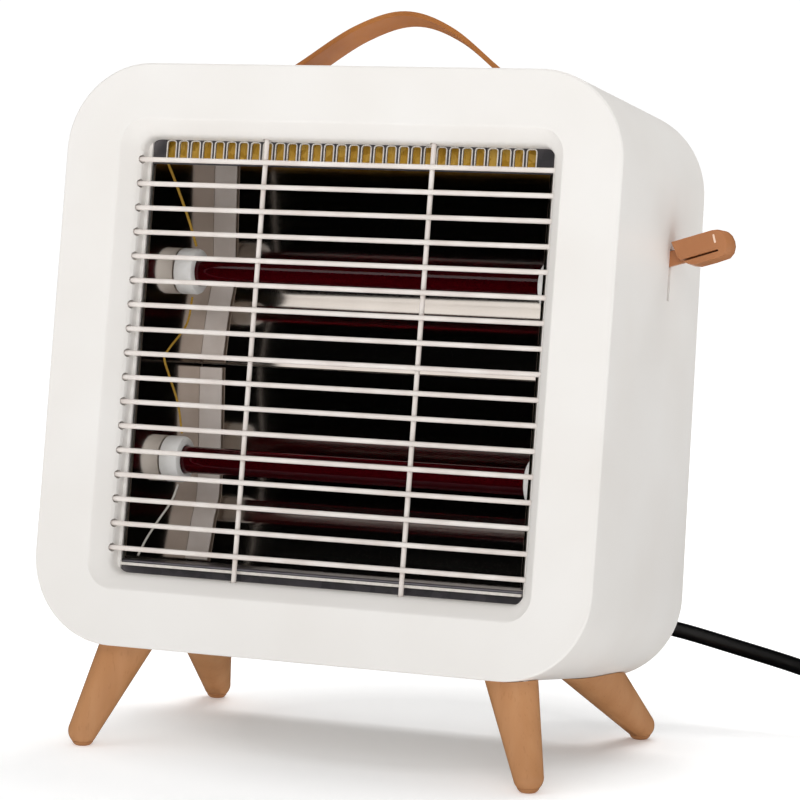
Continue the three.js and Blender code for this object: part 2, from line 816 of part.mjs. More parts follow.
function tiltCase() {
  const base = solid(boxBetween(
    [-tiltBaseWidth * half, -tiltBaseLength * half, -tiltBase],
    [tiltBaseWidth * half, tiltBaseLength * half, tiltPlate - tiltBase],
  ));
  const cheeks = [[-tiltCheekOutside, -tiltCheekInside], [tiltCheekInside, tiltCheekOutside]].map(
    ([low, high]) => solid(boxBetween(
      [low, -tiltCheekWidth * half, -tiltBase], [high, tiltCheekWidth * half, tiltHeadRoom],
    )),
  );
  const bore = solid(bar([-tiltBaseWidth, 0, 0], [tiltBaseWidth, 0, 0], tiltBore, smallSides));
  return geometryOf(joined([base, ...cheeks]).subtract(bore));
}

function tiltPendulum() {
  const eye = solid(bar(
    [-bobThickness * half, 0, 0], [bobThickness * half, 0, 0], eyeDiameter * half, turnSides,
  ));
  const arm = solid(boxBetween(
    [-armWidth * half, -armWidth * half, -armLength], [armWidth * half, armWidth * half, 0],
  ));
  const bob = solid(bar(
    [-bobThickness * half, 0, -armLength], [bobThickness * half, 0, -armLength],
    bobDiameter * half, turnSides,
  ));
  const bore = solid(bar([-bobThickness, 0, 0], [bobThickness, 0, 0], tiltBore, smallSides));
  return geometryOf(joined([eye, arm, bob]).subtract(bore));
}

function tiltPin() {
  const end = tiltCheekOutside + gap;
  return bar([-end, 0, 0], [end, 0, 0], tiltPinDiameter * half, smallSides);
}

// Switch on the base, right under the bob, whose round edge keeps its distance as it swings
function tiltMicroswitch() {
  const side = tiltCheekInside - gap;
  const top = -armLength - bobDiameter * half - bobClearance;
  return boxBetween(
    [-side, -microLength * half, tiltPlate - tiltBase + gap], [side, microLength * half, top],
  );
}

function thermalCutout() {
  const start = boxWidth * half + cheekThickness + gap;
  const disc = solid(bar([start, 0, 0], [start + cutoutHeight, 0, 0], cutoutDiameter * half, turnSides));
  const tag = cutoutHeight * half * half;
  const tags = solid(boxBetween(
    [start + cutoutHeight - tag, -cutoutDiameter * half * half, -tag],
    [start + 2 * cutoutHeight, cutoutDiameter * half * half, tag * half],
  ));
  return geometryOf(disc.add(tags));
}

function terminalBlock() {
  const floor = skin + gap;
  const whole = solid(boxBetween(
    [-terminalLength * half, -terminalWidth * half, floor],
    [terminalLength * half, terminalWidth * half, floor + terminalHeight],
  ));
  const bores = Array.from({ length: terminalWays }, (_, i) => {
    const x = (i - (terminalWays - 1) * half) * terminalLength / terminalWays;
    const z = floor + terminalHeight * half;
    return solid(bar([x, -terminalWidth, z], [x, terminalWidth, z], terminalBore * half, smallSides));
  });
  return geometryOf(without(whole, bores));
}

// The housing's frame turned back by the lean, with its underside raised to the legs' height
const tipDrop = frontLegTip.drop;
const leanedHeight = (y, z) => z * Math.cos(lean) - y * Math.sin(lean);
const bodyRise = -leanedHeight(frontLegTip.y, -tipDrop);
const bodyMatrix = new THREE.Matrix4().makeTranslation(0, 0, bodyRise)
  .multiply(new THREE.Matrix4().makeRotationX(-lean));
const inRoom = (x, y, z) => new THREE.Vector3(x, y, z).applyMatrix4(bodyMatrix);

// The back legs' tips reach the same floor, so their drop follows from the lean
const backTipDrop = (bodyRise - backLegTip.y * Math.sin(lean)) / Math.cos(lean);
const legs = [
  { name: 'front_left', side: -1, top: frontLegTop, tip: { ...frontLegTip } },
  { name: 'front_right', side: 1, top: frontLegTop, tip: { ...frontLegTip } },
  { name: 'back_left', side: -1, top: backLegTop, tip: { ...backLegTip, drop: backTipDrop } },
  { name: 'back_right', side: 1, top: backLegTop, tip: { ...backLegTip, drop: backTipDrop } },
].map(({ name, side, top, tip }) => {
  const foot = inRoom(side * tip.x, tip.y, -tip.drop);
  foot.z = 0;
  const head = inRoom(side * top.x, top.y, 0);
  const ball = legTipDiameter * half;
  const centre = foot.clone().setZ(ball);
  const along = head.clone().sub(centre).normalize();
  return { name, foot, head, centre, along };
});

// The housing's outer form as a plain solid, to cut the legs' tops and trim the bosses
function bodyBlock(grow, placing) {
  const shape = roundedShape(bodyWidth + 2 * grow, bodyHeight + 2 * grow, cornerRadius + grow);
  const geometry = plateAcross(shape, -grow, depthAtBottom + legTopOver);
  geometry.translate(0, 0, midHeight);
  return solid(geometry.applyMatrix4(placing));
}

const legBoltHole = (leg, radius, from, to) => solid(bar(
  leg.head.clone().addScaledVector(leg.along, from).toArray(),
  leg.head.clone().addScaledVector(leg.along, to).toArray(),
  radius, smallSides,
));

function legSolid(leg) {
  const ball = legTipDiameter * half;
  const top = legTopDiameter * half;
  const length = leg.head.clone().sub(leg.centre).length();
  const widening = (top - ball) / length;
  const profile = [new THREE.Vector2(0, -ball)];
  for (let step = 1; step <= legSteps; step += 1) {
    const angle = (step / legSteps) * Math.PI * half;
    profile.push(new THREE.Vector2(ball * Math.sin(angle), -ball * Math.cos(angle)));
  }
  profile.push(new THREE.Vector2(top + widening * legTopOver, length + legTopOver));
  profile.push(new THREE.Vector2(0, length + legTopOver));
  const geometry = new THREE.LatheGeometry(profile, legSides);
  const upright = new THREE.Vector3(0, 1, 0);
  geometry.applyQuaternion(new THREE.Quaternion().setFromUnitVectors(upright, leg.along));
  geometry.translate(...leg.centre.toArray());
  const reach = legTopDiameter * 2;
  const floor = boxBetween(
    [leg.centre.x - reach, leg.centre.y - reach, -reach],
    [leg.centre.x + reach, leg.centre.y + reach, padThickness + gap],
  );
  const hole = legBoltHole(leg, boltDiameter * half + gap, -boltIntoLeg - gap, legTopOver);
  return geometryOf(without(solid(geometry), [bodyBlock(gap, bodyMatrix), solid(floor), hole]));
}

function footPad() {
  const radius = padDiameter * half;
  const profile = [
    [0, 0], [radius - padEdge, 0], [radius, padEdge], [radius, padThickness], [0, padThickness],
  ].map(([r, z]) => new THREE.Vector2(r, z));
  return new THREE.LatheGeometry(profile, turnSides).rotateX(Math.PI * half);
}

function legBolt(leg) {
  const point = (along) => leg.head.clone().addScaledVector(leg.along, along).toArray();
  const nutStart = legBossReach + gap;
  const end = point(nutStart + nutHeight);
  const shank = solid(bar(point(-boltIntoLeg), end, boltDiameter * half, smallSides));
  const nut = solid(bar(point(nutStart), end, nutDiameter * half, nutSides));
  return geometryOf(shank.add(nut));
}

// Carrying strap: an arch drawn in X and Z whose ends go down through the housing's top,
// each wrapped round a cross pin under the top wall
const strapEyeRadius = strapPinDiameter * half + gap + strapEyeWall;
const strapIntoBody = skin + gap + strapEyeRadius;
const strapLow = bodyHeight - strapIntoBody;

function strapArch() {
  const rise = strapRise + strapIntoBody;
  const centreLine = new THREE.SplineCurve(strapFlankShares.map((share, i) => new THREE.Vector2(
    (share - half) * strapSpan, strapLow + strapRiseShares[i] * rise - strapThickness * half,
  )));
  const outer = [];
  const inner = [];
  for (let i = 0; i <= strapSteps; i += 1) {
    const point = centreLine.getPoint(i / strapSteps);
    const tangent = centreLine.getTangent(i / strapSteps);
    const normal = new THREE.Vector2(-tangent.y, tangent.x).multiplyScalar(strapThickness * half);
    outer.push(point.clone().add(normal));
    inner.push(point.clone().sub(normal));
  }
  return { outer, inner, centreLine };
}

const strapPinBar = (side, radius, over) => bar(
  [side * strapSpan * half, strapDepth - over, strapLow],
  [side * strapSpan * half, strapDepth + strapWidth + over, strapLow], radius, smallSides,
);

function handleStrap() {
  const { outer, inner } = strapArch();
  const shape = new THREE.Shape([...outer, ...inner.reverse()]);
  const arch = solid(plateAcross(shape, strapDepth, strapDepth + strapWidth));
  const eyes = [-1, 1].map((side) => solid(strapPinBar(side, strapEyeRadius, 0)));
  const bores = [-1, 1].map((side) => solid(strapPinBar(side, strapPinDiameter * half + gap, cutOver)));
  return geometryOf(without(joined([arch, ...eyes]), bores));
}

// Slots for the strap's ends: boxes round the arch where it passes the top wall
function strapSlots() {
  const { centreLine } = strapArch();
  const wallMiddle = bodyHeight - skin * half;
  let crossing = 0;
  for (let i = 0; i <= strapSteps * strapSteps; i += 1) {
    const point = centreLine.getPoint(i / (strapSteps * strapSteps));
    if (point.x < 0 && point.y <= wallMiddle) crossing = i / (strapSteps * strapSteps);
  }
  const at = centreLine.getPoint(crossing);
  const tangent = centreLine.getTangent(crossing);
  const steep = Math.abs(tangent.y / tangent.x);
  const reach = (strapThickness * half / Math.abs(tangent.y)) + skin / steep * half + strapSlotClearance;
  return [-1, 1].map((side) => solid(boxBetween(
    [-side * at.x - reach, strapDepth - strapSlotClearance, bodyHeight - skin - cutOver],
    [-side * at.x + reach, strapDepth + strapWidth + strapSlotClearance, bodyHeight + cutOver],
  )));
}

// Back cover: flat pieces drawn upright, then sheared onto the housing's slanting rear plane
const slant = new THREE.Matrix4().set(
  1, 0, 0, 0,
  0, 1, -backSlope, 0,
  0, 0, 1, 0,
  0, 0, 0, 1,
);
const coverBack = depthAtBottom - coverInset;
const coverFront = coverBack - coverThickness;
const screwPlaces = [-1, 1].flatMap((side) => [screwLow, screwHigh].map((z) => ({ x: side * screwX, z })));
const coverPlane = (z) => coverBack - backSlope * z;

function backCover() {
  const fit = 2 * (skin + gap);
  const shape = roundedShape(bodyWidth - fit, bodyHeight - fit, cornerRadius - skin - gap);
  const plate = plateAcross(shape, coverFront, coverBack).translate(0, 0, midHeight);
  const vents = [];
  for (const base of [lowerVentBase, upperVentBase]) {
    for (let row = 0; row < ventRows; row += 1) {
      for (let column = 0; column < ventColumns; column += 1) {
        const x = (column - (ventColumns - 1) * half) * ventPitchX;
        const z = base + row * ventPitchZ;
        vents.push(solid(boxBetween(
          [x - ventWidth * half, coverFront - cutOver, z],
          [x + ventWidth * half, coverBack + cutOver, z + ventHeight],
        )));
      }
    }
  }
  const holes = screwPlaces.map(({ x, z }) => solid(bar(
    [x, coverFront - cutOver, z], [x, coverBack + cutOver, z],
    screwDiameter * half + screwClearance, smallSides,
  )));
  const cordHole = solid(bar(
    [glandX, coverFront - cutOver, glandHeight], [glandX, coverBack + cutOver, glandHeight],
    glandNeckDiameter * half + gap, turnSides,
  ));
  return geometryOf(without(solid(plate), [...vents, ...holes, cordHole])).applyMatrix4(slant);
}

function screwBosses() {
  return screwPlaces.map(({ x, z }) => {
    const back = coverPlane(z) - coverThickness - gap - backSlope * screwBossDiameter;
    const post = bar([x, back - screwBossLength, z], [x, back, z], screwBossDiameter * half, smallSides);
    const outward = Math.sign(x) * (bodyWidth - skin) * half;
    const web = boxBetween(
      [Math.min(x, outward), back - screwBossLength, z - screwDiameter * half],
      [Math.max(x, outward), back, z + screwDiameter * half],
    );
    return solid(post).add(solid(web));
  });
}

const screwHoles = () => screwPlaces.map(({ x, z }) => solid(bar(
  [x, coverPlane(z) - coverThickness - screwLength - cutOver, z], [x, backAt(z) + cutOver, z],
  screwDiameter * half + screwClearance, smallSides,
)));

function coverScrew() {
  const headTop = gap + screwHeadHeight;
  const head = solid(bar([0, gap, 0], [0, headTop, 0], screwHeadDiameter * half, smallSides));
  const shank = solid(bar(
    [0, gap - screwLength, 0], [0, gap + cutOver, 0], screwDiameter * half, smallSides,
  ));
  return geometryOf(head.add(shank));
}

// Cord gland: a collar outside the cover, a neck through it and a tapering sleeve round the lead
function cordGland() {
  const bore = cordDiameter * half + gap;
  const profile = [
    [-glandTail, bore], [-glandTail, glandNeckDiameter * half], [gap, glandNeckDiameter * half],
    [gap, glandCollarDiameter * half], [gap + glandCollarThickness, glandCollarDiameter * half],
    [gap + glandCollarThickness, glandNeckDiameter * half + gap], [glandLength, glandTipDiameter * half],
    [glandLength, bore], [-glandTail, bore],
  ];
  return turnedX(profile, turnSides).rotateZ(Math.PI * half);
}

// Everything that the housing carries, in the housing's frame
const body = new THREE.Group();
body.applyMatrix4(bodyMatrix);

function housing() {
  const inverse = bodyMatrix.clone().invert();
  const midSkin = bodyBlock(-skin * half, new THREE.Matrix4());
  const boltHoles = legs.map((leg) => legBoltHole(
    leg, boltDiameter * half + boltClearance, -legTopOver, legTopOver,
  ));
  const toBody = (manifold) => solid(geometryOf(manifold).applyMatrix4(inverse));
  const legBosses = legs.map((leg) => toBody(legBoltHole(
    leg, legBossDiameter * half, -legBossReach, legBossReach,
  )));
  const bosses = [...legBosses, ...screwBosses()].map((boss) => boss.intersect(midSkin));
  const shell = joined([solid(housingShell()), ...bosses]);
  return geometryOf(without(shell, [
    ...guardHoles, solid(leverSlot()), ...strapSlots(), ...boltHoles.map(toBody), ...screwHoles(),
  ]));
}

body.add(piece('front_housing', 'shell', housing()));
body.add(piece('wire_guard', 'guard', geometryOf(guard)));
body.add(piece('slotted_top_plate', 'galvanised', topPlate()));
body.add(piece('floor_plate', 'galvanised', floorPlate()));
body.add(piece('mica_board', 'mica', micaBoard()));
body.add(piece('upper_reflector', 'mirror', sheetAlongX(upperTrough(0), reflectorLength)));
body.add(piece('lower_reflector', 'mirror', sheetAlongX(lowerTrough(0), reflectorLength)));
body.add(piece('left_end_cheek', 'mirror', endCheek(-1)));
body.add(piece('right_end_cheek', 'mirror', endCheek(1)));

for (const [level, height] of [['upper', upperTubeHeight], ['lower', lowerTubeHeight]]) {
  const lamp = new THREE.Group();
  lamp.position.set(0, tubeDepth, height);
  lamp.add(piece(`${level}_quartz_tube`, 'ruby', quartzTube()));
  lamp.add(piece(`${level}_filament`, 'filament', filament()));
  for (const [hand, side] of [['left', -1], ['right', 1]]) {
    lamp.add(piece(`${level}_${hand}_cap`, 'ceramic', ceramicCap(side)));
    lamp.add(piece(`${level}_${hand}_clip`, 'steel', capClip(side)));
  }
  body.add(lamp);
}

body.add(piece('top_lead', 'yellow', leadAlong(topLeadRoute, leadDiameter, leadSides, leadSteps)));
body.add(piece('link_lead', 'yellow', leadAlong(linkLeadRoute, leadDiameter, leadSides, 2 * leadSteps)));
body.add(piece('floor_lead', 'silicone', leadAlong(floorLeadRoute, leadDiameter, leadSides, leadSteps)));

const leverSeat = new THREE.Group();
leverSeat.position.set(pivotX, leverDepth, leverHeight);
const lever = piece('selector_lever', 'tan', selectorLever());
lever.rotation.y = -leverTilt;
leverSeat.add(lever);
leverSeat.add(piece('lever_pin', 'steel', leverPin()));
leverSeat.add(piece('lever_bracket', 'steel', leverBracket()));
leverSeat.add(piece('selector_switch', 'black', selectorSwitch()));
body.add(leverSeat);

const tiltSeat = new THREE.Group();
tiltSeat.position.set(tiltX, tiltDepth, skin + gap + tiltPivotHeight);
tiltSeat.add(piece('tilt_switch_case', 'black', tiltCase()));
tiltSeat.add(piece('tilt_switch_pin', 'steel', tiltPin()));
tiltSeat.add(piece('tilt_microswitch', 'black', tiltMicroswitch()));
const pendulum = piece('tilt_switch_pendulum', 'steel', tiltPendulum());
pendulum.rotation.x = lean;
tiltSeat.add(pendulum);
body.add(tiltSeat);

const cutout = piece('thermal_cutout', 'black', thermalCutout());
cutout.position.set(0, tubeDepth + cutoutBehindTube, lowerTubeHeight + cutoutOverTube);
body.add(cutout);
const terminals = piece('terminal_block', 'ceramic', terminalBlock());
terminals.position.set(terminalX, terminalDepth, 0);
body.add(terminals);

body.add(piece('handle_strap', 'leather', handleStrap()));
for (const [hand, side] of [['left', -1], ['right', 1]]) {
  body.add(piece(`${hand}_strap_pin`, 'steel', strapPinBar(side, strapPinDiameter * half, strapPinOver)));
}

body.add(piece('back_cover', 'shell', backCover()));
screwPlaces.forEach(({ x, z }, i) => {
  const screw = piece(`cover_screw_${i + 1}`, 'steel', coverScrew());
  screw.position.set(x, coverPlane(z) + backSlope * screwHeadDiameter * half, z);
  body.add(screw);
});
const gland = piece('cord_gland', 'black', cordGland());
gland.position.set(glandX, coverPlane(glandHeight) + backSlope * glandCollarDiameter * half, glandHeight);
body.add(gland);

// The heater on its legs, shifted so that the origin is the bottom centre of its box
const heater = new THREE.Group();
heater.add(body);
for (const leg of legs) {
  heater.add(piece(`${leg.name}_leg`, 'wood', legSolid(leg)));
  heater.add(piece(`${leg.name}_leg_bolt`, 'steel', legBolt(leg)));
  const pad = piece(`${leg.name}_foot_pad`, 'rubber', footPad());
  pad.position.copy(leg.foot);
  heater.add(pad);
}
heater.updateMatrixWorld(true);
const extent = new THREE.Box3();
heater.traverse((object) => {
  if (!object.isMesh) return;
  const position = object.geometry.attributes.position;
  for (let i = 0; i < position.count; i += 1) {
    const corner = new THREE.Vector3().fromBufferAttribute(position, i);
    extent.expandByPoint(corner.applyMatrix4(object.matrixWorld));
  }
});
const middle = extent.getCenter(new THREE.Vector3());
heater.position.set(-middle.x, -middle.y, -extent.min.z);
heater.updateMatrixWorld(true);

// Lead: straight through the gland, then down to the floor beside the heater
const cordRadius = cordDiameter * half;
const glandAxis = (along) => (
  inRoom(glandX, gland.position.y + along, glandHeight).add(heater.position).toArray()
);
const coilLow = cordRadius + tieThickness + tieSlack + floorClearance;
const coilStartX = coilX - cordDiameter;
const cordLeaves = glandAxis(glandLength + cordStraight);
const cordArrives = [coilStartX - gap, coilY + coilRadius, coilLow];
const cordPoints = [
  glandAxis(-glandTail),
  glandAxis(glandLength * half),
  glandAxis(glandLength),
  cordLeaves,
  ...routeBetween(cordLeaves, cordArrives, cordRouteShares),
  cordArrives,
];

// Coil: the lower layer winds in, half a turn climbs, the upper layer winds out
function coilPoints() {
  const perTurn = coilPitch / (2 * Math.PI);
  const innerRadius = coilRadius - lowerTurns * coilPitch;
  const climb = climbTurns * 2 * Math.PI;
  const points = [new THREE.Vector3(coilStartX, coilY + coilRadius, coilLow)];
  const steps = Math.round((lowerTurns + climbTurns + upperTurns) * loopSteps);
  for (let i = 0; i <= steps; i += 1) {
    const turns = i / loopSteps;
    const past = (turns - lowerTurns) * 2 * Math.PI;
    let radius = coilRadius - turns * coilPitch;
    let rise = 0;
    if (turns > lowerTurns + climbTurns) {
      radius = innerRadius + (turns - lowerTurns - climbTurns) * coilPitch;
      rise = 1;
    } else if (turns > lowerTurns) {
      radius = innerRadius - perTurn * (past - past * past / climb);
      rise = THREE.MathUtils.smoothstep(past, 0, climb);
    }
    const angle = Math.PI * half - turns * 2 * Math.PI;
    points.push(new THREE.Vector3(
      coilX + radius * Math.cos(angle), coilY + radius * Math.sin(angle), coilLow + rise * coilPitch,
    ));
  }
  return points;
}

const windings = coilPoints();
const tailStart = windings[windings.length - 1];
const plugHeight = plugDiameter * half + floorClearance;

// Tail of the coil, which eases up to the height of the plug lying on the floor
function tailPoints() {
  const points = [];
  for (let i = 1; i <= tailSteps; i += 1) {
    const share = i / tailSteps;
    const rise = THREE.MathUtils.smoothstep(share, 0, 1 - 1 / tailSteps);
    points.push(new THREE.Vector3(
      tailStart.x + share * tailLength,
      tailStart.y,
      tailStart.z + rise * (plugHeight - tailStart.z),
    ));
  }
  return points;
}

// One unbroken tube through the points, whose rings stay upright
function tubeThrough(points, radius, sides) {
  const positions = [];
  const index = [];
  points.forEach((point, i) => {
    const before = points[Math.max(i - 1, 0)];
    const after = points[Math.min(i + 1, points.length - 1)];
    const along = after.clone().sub(before).normalize();
    const side = new THREE.Vector3(along.y, -along.x, 0).normalize();
    const up = side.clone().cross(along);
    for (let k = 0; k < sides; k += 1) {
      const angle = (k / sides) * 2 * Math.PI;
      const corner = point.clone()
        .addScaledVector(side, radius * Math.cos(angle))
        .addScaledVector(up, radius * Math.sin(angle));
      positions.push(...corner.toArray());
    }
  });
  for (let i = 0; i < points.length - 1; i += 1) {
    for (let k = 0; k < sides; k += 1) {
      const a = i * sides + k;
      const b = i * sides + (k + 1) % sides;
      index.push(a, b + sides, b, a, a + sides, b + sides);
    }
  }
  const last = (points.length - 1) * sides;
  for (let k = 1; k < sides - 1; k += 1) {
    index.push(0, k, k + 1);
    index.push(last, last + k + 1, last + k);
  }
  const geometry = new THREE.BufferGeometry();
  geometry.setAttribute('position', new THREE.Float32BufferAttribute(positions, 3));
  geometry.setIndex(index);
  return geometry;
}

// Least distance between windings that lie at least half a turn apart, less the cord's diameter
function coilGap(points) {
  let least = Infinity;
  for (let i = 0; i < points.length; i += 1) {
    for (let k = i + loopSteps * half; k < points.length - 1; k += 1) {
      const stretch = new THREE.Line3(points[k], points[k + 1]);
      const near = stretch.closestPointToPoint(points[i], true, new THREE.Vector3());
      least = Math.min(least, near.distanceTo(points[i]));
    }
  }
  return least - cordDiameter;
}

// Tie round the bundle at the coil's right side
function coilTie() {
  const outerTurn = coilRadius - coilPitch / 4 + cordRadius + tieSlack;
  const innerTurn = coilRadius - (lowerTurns - 1 / 4) * coilPitch - cordRadius - tieSlack;
  const low = coilLow - cordRadius - tieSlack;
  const high = coilLow + coilPitch + cordRadius + tieSlack;
  const frame = (grow, over) => solid(boxBetween(
    [coilX + innerTurn - grow, coilY - tieWidth * half - over, low - grow],
    [coilX + outerTurn + grow, coilY + tieWidth * half + over, high + grow],
  ));
  return geometryOf(frame(tieThickness, 0).subtract(frame(0, cutOver)));
}

function mainsPlug() {
  const neck = plugNeckDiameter * half;
  const shell = plugDiameter * half;
  const front = plugNeckLength + plugLength;
  const moulding = solid(turnedX([
    [0, 0], [0, cordRadius + plugPinDiameter * half * half], [plugNeckLength, neck],
    [plugNeckLength + plugShoulder, shell - plugShoulder], [plugNeckLength + 2 * plugShoulder, shell],
    [front, shell], [front, 0],
  ], turnSides));
  const pins = [-1, 1].map((side) => solid(bar(
    [front - plugShoulder, 0, side * plugPinSpacing * half],
    [front + plugPinLength, 0, side * plugPinSpacing * half],
    plugPinDiameter * half, smallSides,
  )));
  return geometryOf(joined([moulding, ...pins]));
}

const lead = new THREE.Group();
lead.add(piece('cord', 'black', leadAlong(cordPoints, cordDiameter, cordSides, cordSteps)));
lead.add(piece('cord_coil', 'black', tubeThrough([...windings, ...tailPoints()], cordRadius, coilSides)));
lead.add(piece('cord_tie', 'black', coilTie()));
const plug = piece('mains_plug', 'black', mainsPlug());
plug.position.set(tailStart.x + tailLength + gap, tailStart.y, plugHeight);
lead.add(plug);

const heaterWithLead = new THREE.Group();
heaterWithLead.name = 'infrared_heater';
heaterWithLead.add(heater, lead);

console.log('least gap between the coil\'s windings, mm:', coilGap(windings).toFixed(2));

export default heaterWithLead;
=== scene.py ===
# %% [markdown]
# # A portable infrared heater
# The heater is a white moulded housing that leans back on four turned legs. Behind a wire guard, two
# ruby quartz tubes stand in front of polished reflectors. The solids come from the CAD model, which
# fixes every size. The pieces below are made over them, where the eye wants rounder edges, finer
# profiles and real finishes. Each piece is drawn in millimetres, upright, and then leaned and placed.

import math

import bmesh
import bpy
from mathutils import Matrix, Vector


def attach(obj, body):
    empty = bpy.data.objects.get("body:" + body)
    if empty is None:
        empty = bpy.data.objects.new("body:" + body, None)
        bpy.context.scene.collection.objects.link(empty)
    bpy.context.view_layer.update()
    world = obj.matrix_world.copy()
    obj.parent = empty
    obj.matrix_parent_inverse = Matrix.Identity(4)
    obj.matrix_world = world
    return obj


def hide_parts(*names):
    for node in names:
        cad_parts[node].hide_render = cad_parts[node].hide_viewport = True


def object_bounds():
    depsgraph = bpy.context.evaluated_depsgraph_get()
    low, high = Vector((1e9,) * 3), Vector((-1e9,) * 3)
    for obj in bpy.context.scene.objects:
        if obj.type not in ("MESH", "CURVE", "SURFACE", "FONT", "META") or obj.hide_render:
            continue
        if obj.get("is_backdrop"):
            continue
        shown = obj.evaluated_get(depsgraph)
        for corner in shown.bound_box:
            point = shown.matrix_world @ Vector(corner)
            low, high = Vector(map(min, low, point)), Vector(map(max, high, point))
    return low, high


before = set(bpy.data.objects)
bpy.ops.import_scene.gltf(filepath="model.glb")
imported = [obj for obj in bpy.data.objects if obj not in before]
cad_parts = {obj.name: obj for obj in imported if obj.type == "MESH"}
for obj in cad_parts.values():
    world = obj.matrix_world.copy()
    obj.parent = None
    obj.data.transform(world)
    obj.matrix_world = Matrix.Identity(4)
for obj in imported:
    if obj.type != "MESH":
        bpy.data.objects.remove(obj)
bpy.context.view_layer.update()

# %% [markdown]
# ## Camera
# The view has the photograph's own angle: a long lens, from the right and a little above. A constraint
# could aim the camera, but three unit directions and a point say its place and turn outright.

# %% Camera
camera_data = bpy.data.cameras.new("camera")
camera_data.lens = 140.0
camera_data.sensor_width = 36.0
camera_data.clip_end = 30.0
camera = bpy.data.objects.new("camera", camera_data)
bpy.context.scene.collection.objects.link(camera)
to_right = Vector((0.9259, 0.3766, 0.0284))
to_top = Vector((-0.0535, 0.0565, 0.997))
to_back = to_right.cross(to_top)
camera_turn = Matrix((to_right, to_top, to_back)).transposed().to_4x4()
camera.matrix_world = Matrix.Translation((0.55625, -1.38268, 0.2752)) @ camera_turn
bpy.context.scene.camera = camera
print("camera looks along", [round(v, 3) for v in -to_back])

# %% [markdown]
# ## Places
# The housing and all that it carries lean back by seven degrees. Drawing each piece upright, in the
# housing's own millimetres, keeps its numbers simple, and one matrix then leans it, lifts it onto the
# legs and turns the millimetres into metres. X is across, Y goes back from the front, and Z is up.

# %% Places and main sizes, in millimetres
MM = 0.001
LEAN = math.radians(7.0)
STAND = (-15.8468, -85.3113, 49.6636)
ROOM = Matrix.Scale(MM, 4)
LEANED = ROOM @ Matrix.Translation(STAND) @ Matrix.Rotation(-LEAN, 4, "X")
BODY_WIDTH, BODY_HEIGHT, BODY_DEPTH, CORNER = 280.0, 277.0, 142.0, 42.0
MIDDLE = BODY_HEIGHT / 2
BACK_SLOPE = 15.0 / BODY_HEIGHT


def back_at(height):
    return BODY_DEPTH - BACK_SLOPE * height


print("depth at the bottom and the top:", back_at(0.0), round(back_at(BODY_HEIGHT), 1), "mm")

# %% [markdown]
# ## Nodes and colours
# A material is a small tree of nodes. One helper adds any node with its settings and its links, and
# fills a colour ramp from stops. Another turns the hex value of a screen colour to the linear light
# that the renderer counts in, so that every colour can be written as it is seen.

# %% Node helper and colour helper
def linear(hex_colour):
    values = [int(hex_colour[i:i + 2], 16) / 255 for i in (1, 3, 5)]
    return [*(v / 12.92 if v <= 0.04045 else ((v + 0.055) / 1.055) ** 2.4 for v in values), 1.0]


def add(tree, kind, inputs=None, into=None, stops=(), **settings):
    made = tree.nodes.new(kind)
    for name, value in settings.items():
        setattr(made, name, value)
    for name, value in (inputs or {}).items():
        if isinstance(value, bpy.types.NodeSocket):
            tree.links.new(value, made.inputs[name])
        else:
            made.inputs[name].default_value = value
    for name, socket in (into or {}).items():
        tree.links.new(made.outputs[name], socket)
    tones = [(at, linear(tone) if isinstance(tone, str) else (tone, tone, tone, 1.0)) for at, tone in stops]
    if tones:
        first, last = made.color_ramp.elements
        (first.position, first.color), (last.position, last.color) = tones[0], tones[-1]
    for at, tone in tones[1:-1]:
        made.color_ramp.elements.new(at).color = tone
    return made


print("mid grey in linear light:", round(linear("#808080")[0], 3))

# %% [markdown]
# ## Starting and dressing a finish
# Every real surface varies in three ways: its tone drifts, its gloss is uneven, and it has some relief.
# So a finish starts as one shader, and is then dressed with a pattern for each of the three. Patterns
# read the object's own coordinates, in metres, so a real size in millimetres gives each its scale.

# %% Start and dress a finish
def finish(name, **shader):
    material = bpy.data.materials.new(name)
    material.use_nodes = True
    tree = material.node_tree
    tree.nodes.clear()
    surface = add(tree, "ShaderNodeBsdfPrincipled", shader)
    add(tree, "ShaderNodeOutputMaterial", {"Surface": surface.outputs["BSDF"]})
    where = add(tree, "ShaderNodeTexCoord").outputs["Object"]
    return material, tree, surface, where


def scale_for(size_mm):
    return 1 / (size_mm * MM)


def dress(tree, surface, tone, stops, gloss, roughness, relief, depth_mm, strength):
    add(tree, "ShaderNodeValToRGB", {"Fac": tone}, {"Color": surface.inputs["Base Color"]}, stops)
    low, high = roughness
    add(tree, "ShaderNodeMapRange", {"Value": gloss, "To Min": low, "To Max": high},
        {"Result": surface.inputs["Roughness"]})
    add(tree, "ShaderNodeBump", {"Height": relief, "Distance": depth_mm * MM, "Strength": strength},
        {"Normal": surface.inputs["Normal"]})


# %% [markdown]
# ## Moulded white housing
# The housing is satin ABS, moulded in a spark-eroded tool. The eye reads it as warm white with soft,
# wide highlights. The tool's fine grain is about 0.4 mm, just enough to break the highlights.

# %% White ABS
WHITE_ABS, tree, surface, where = finish("white_abs", IOR=1.53)
mottle = add(tree, "ShaderNodeTexNoise", {"Vector": where, "Scale": scale_for(60.0)}).outputs["Fac"]
sheen = add(tree, "ShaderNodeTexNoise", {"Vector": where, "Scale": scale_for(9.0)}).outputs["Fac"]
grain = add(tree, "ShaderNodeTexNoise", {"Vector": where, "Scale": scale_for(0.4)}).outputs["Fac"]
dress(tree, surface, mottle, [(0.3, "#EFEBE6"), (0.7, "#F3F0EC")], sheen, (0.36, 0.48), grain, 0.02, 0.25)
print("finish:", WHITE_ABS.name)

# %% [markdown]
# ## Enamelled wire
# The guard's wires are steel with a cream enamel. Baked enamel pulls itself smooth but stays a little
# wavy, so its gloss has a slow waviness a few millimetres long and no grain.

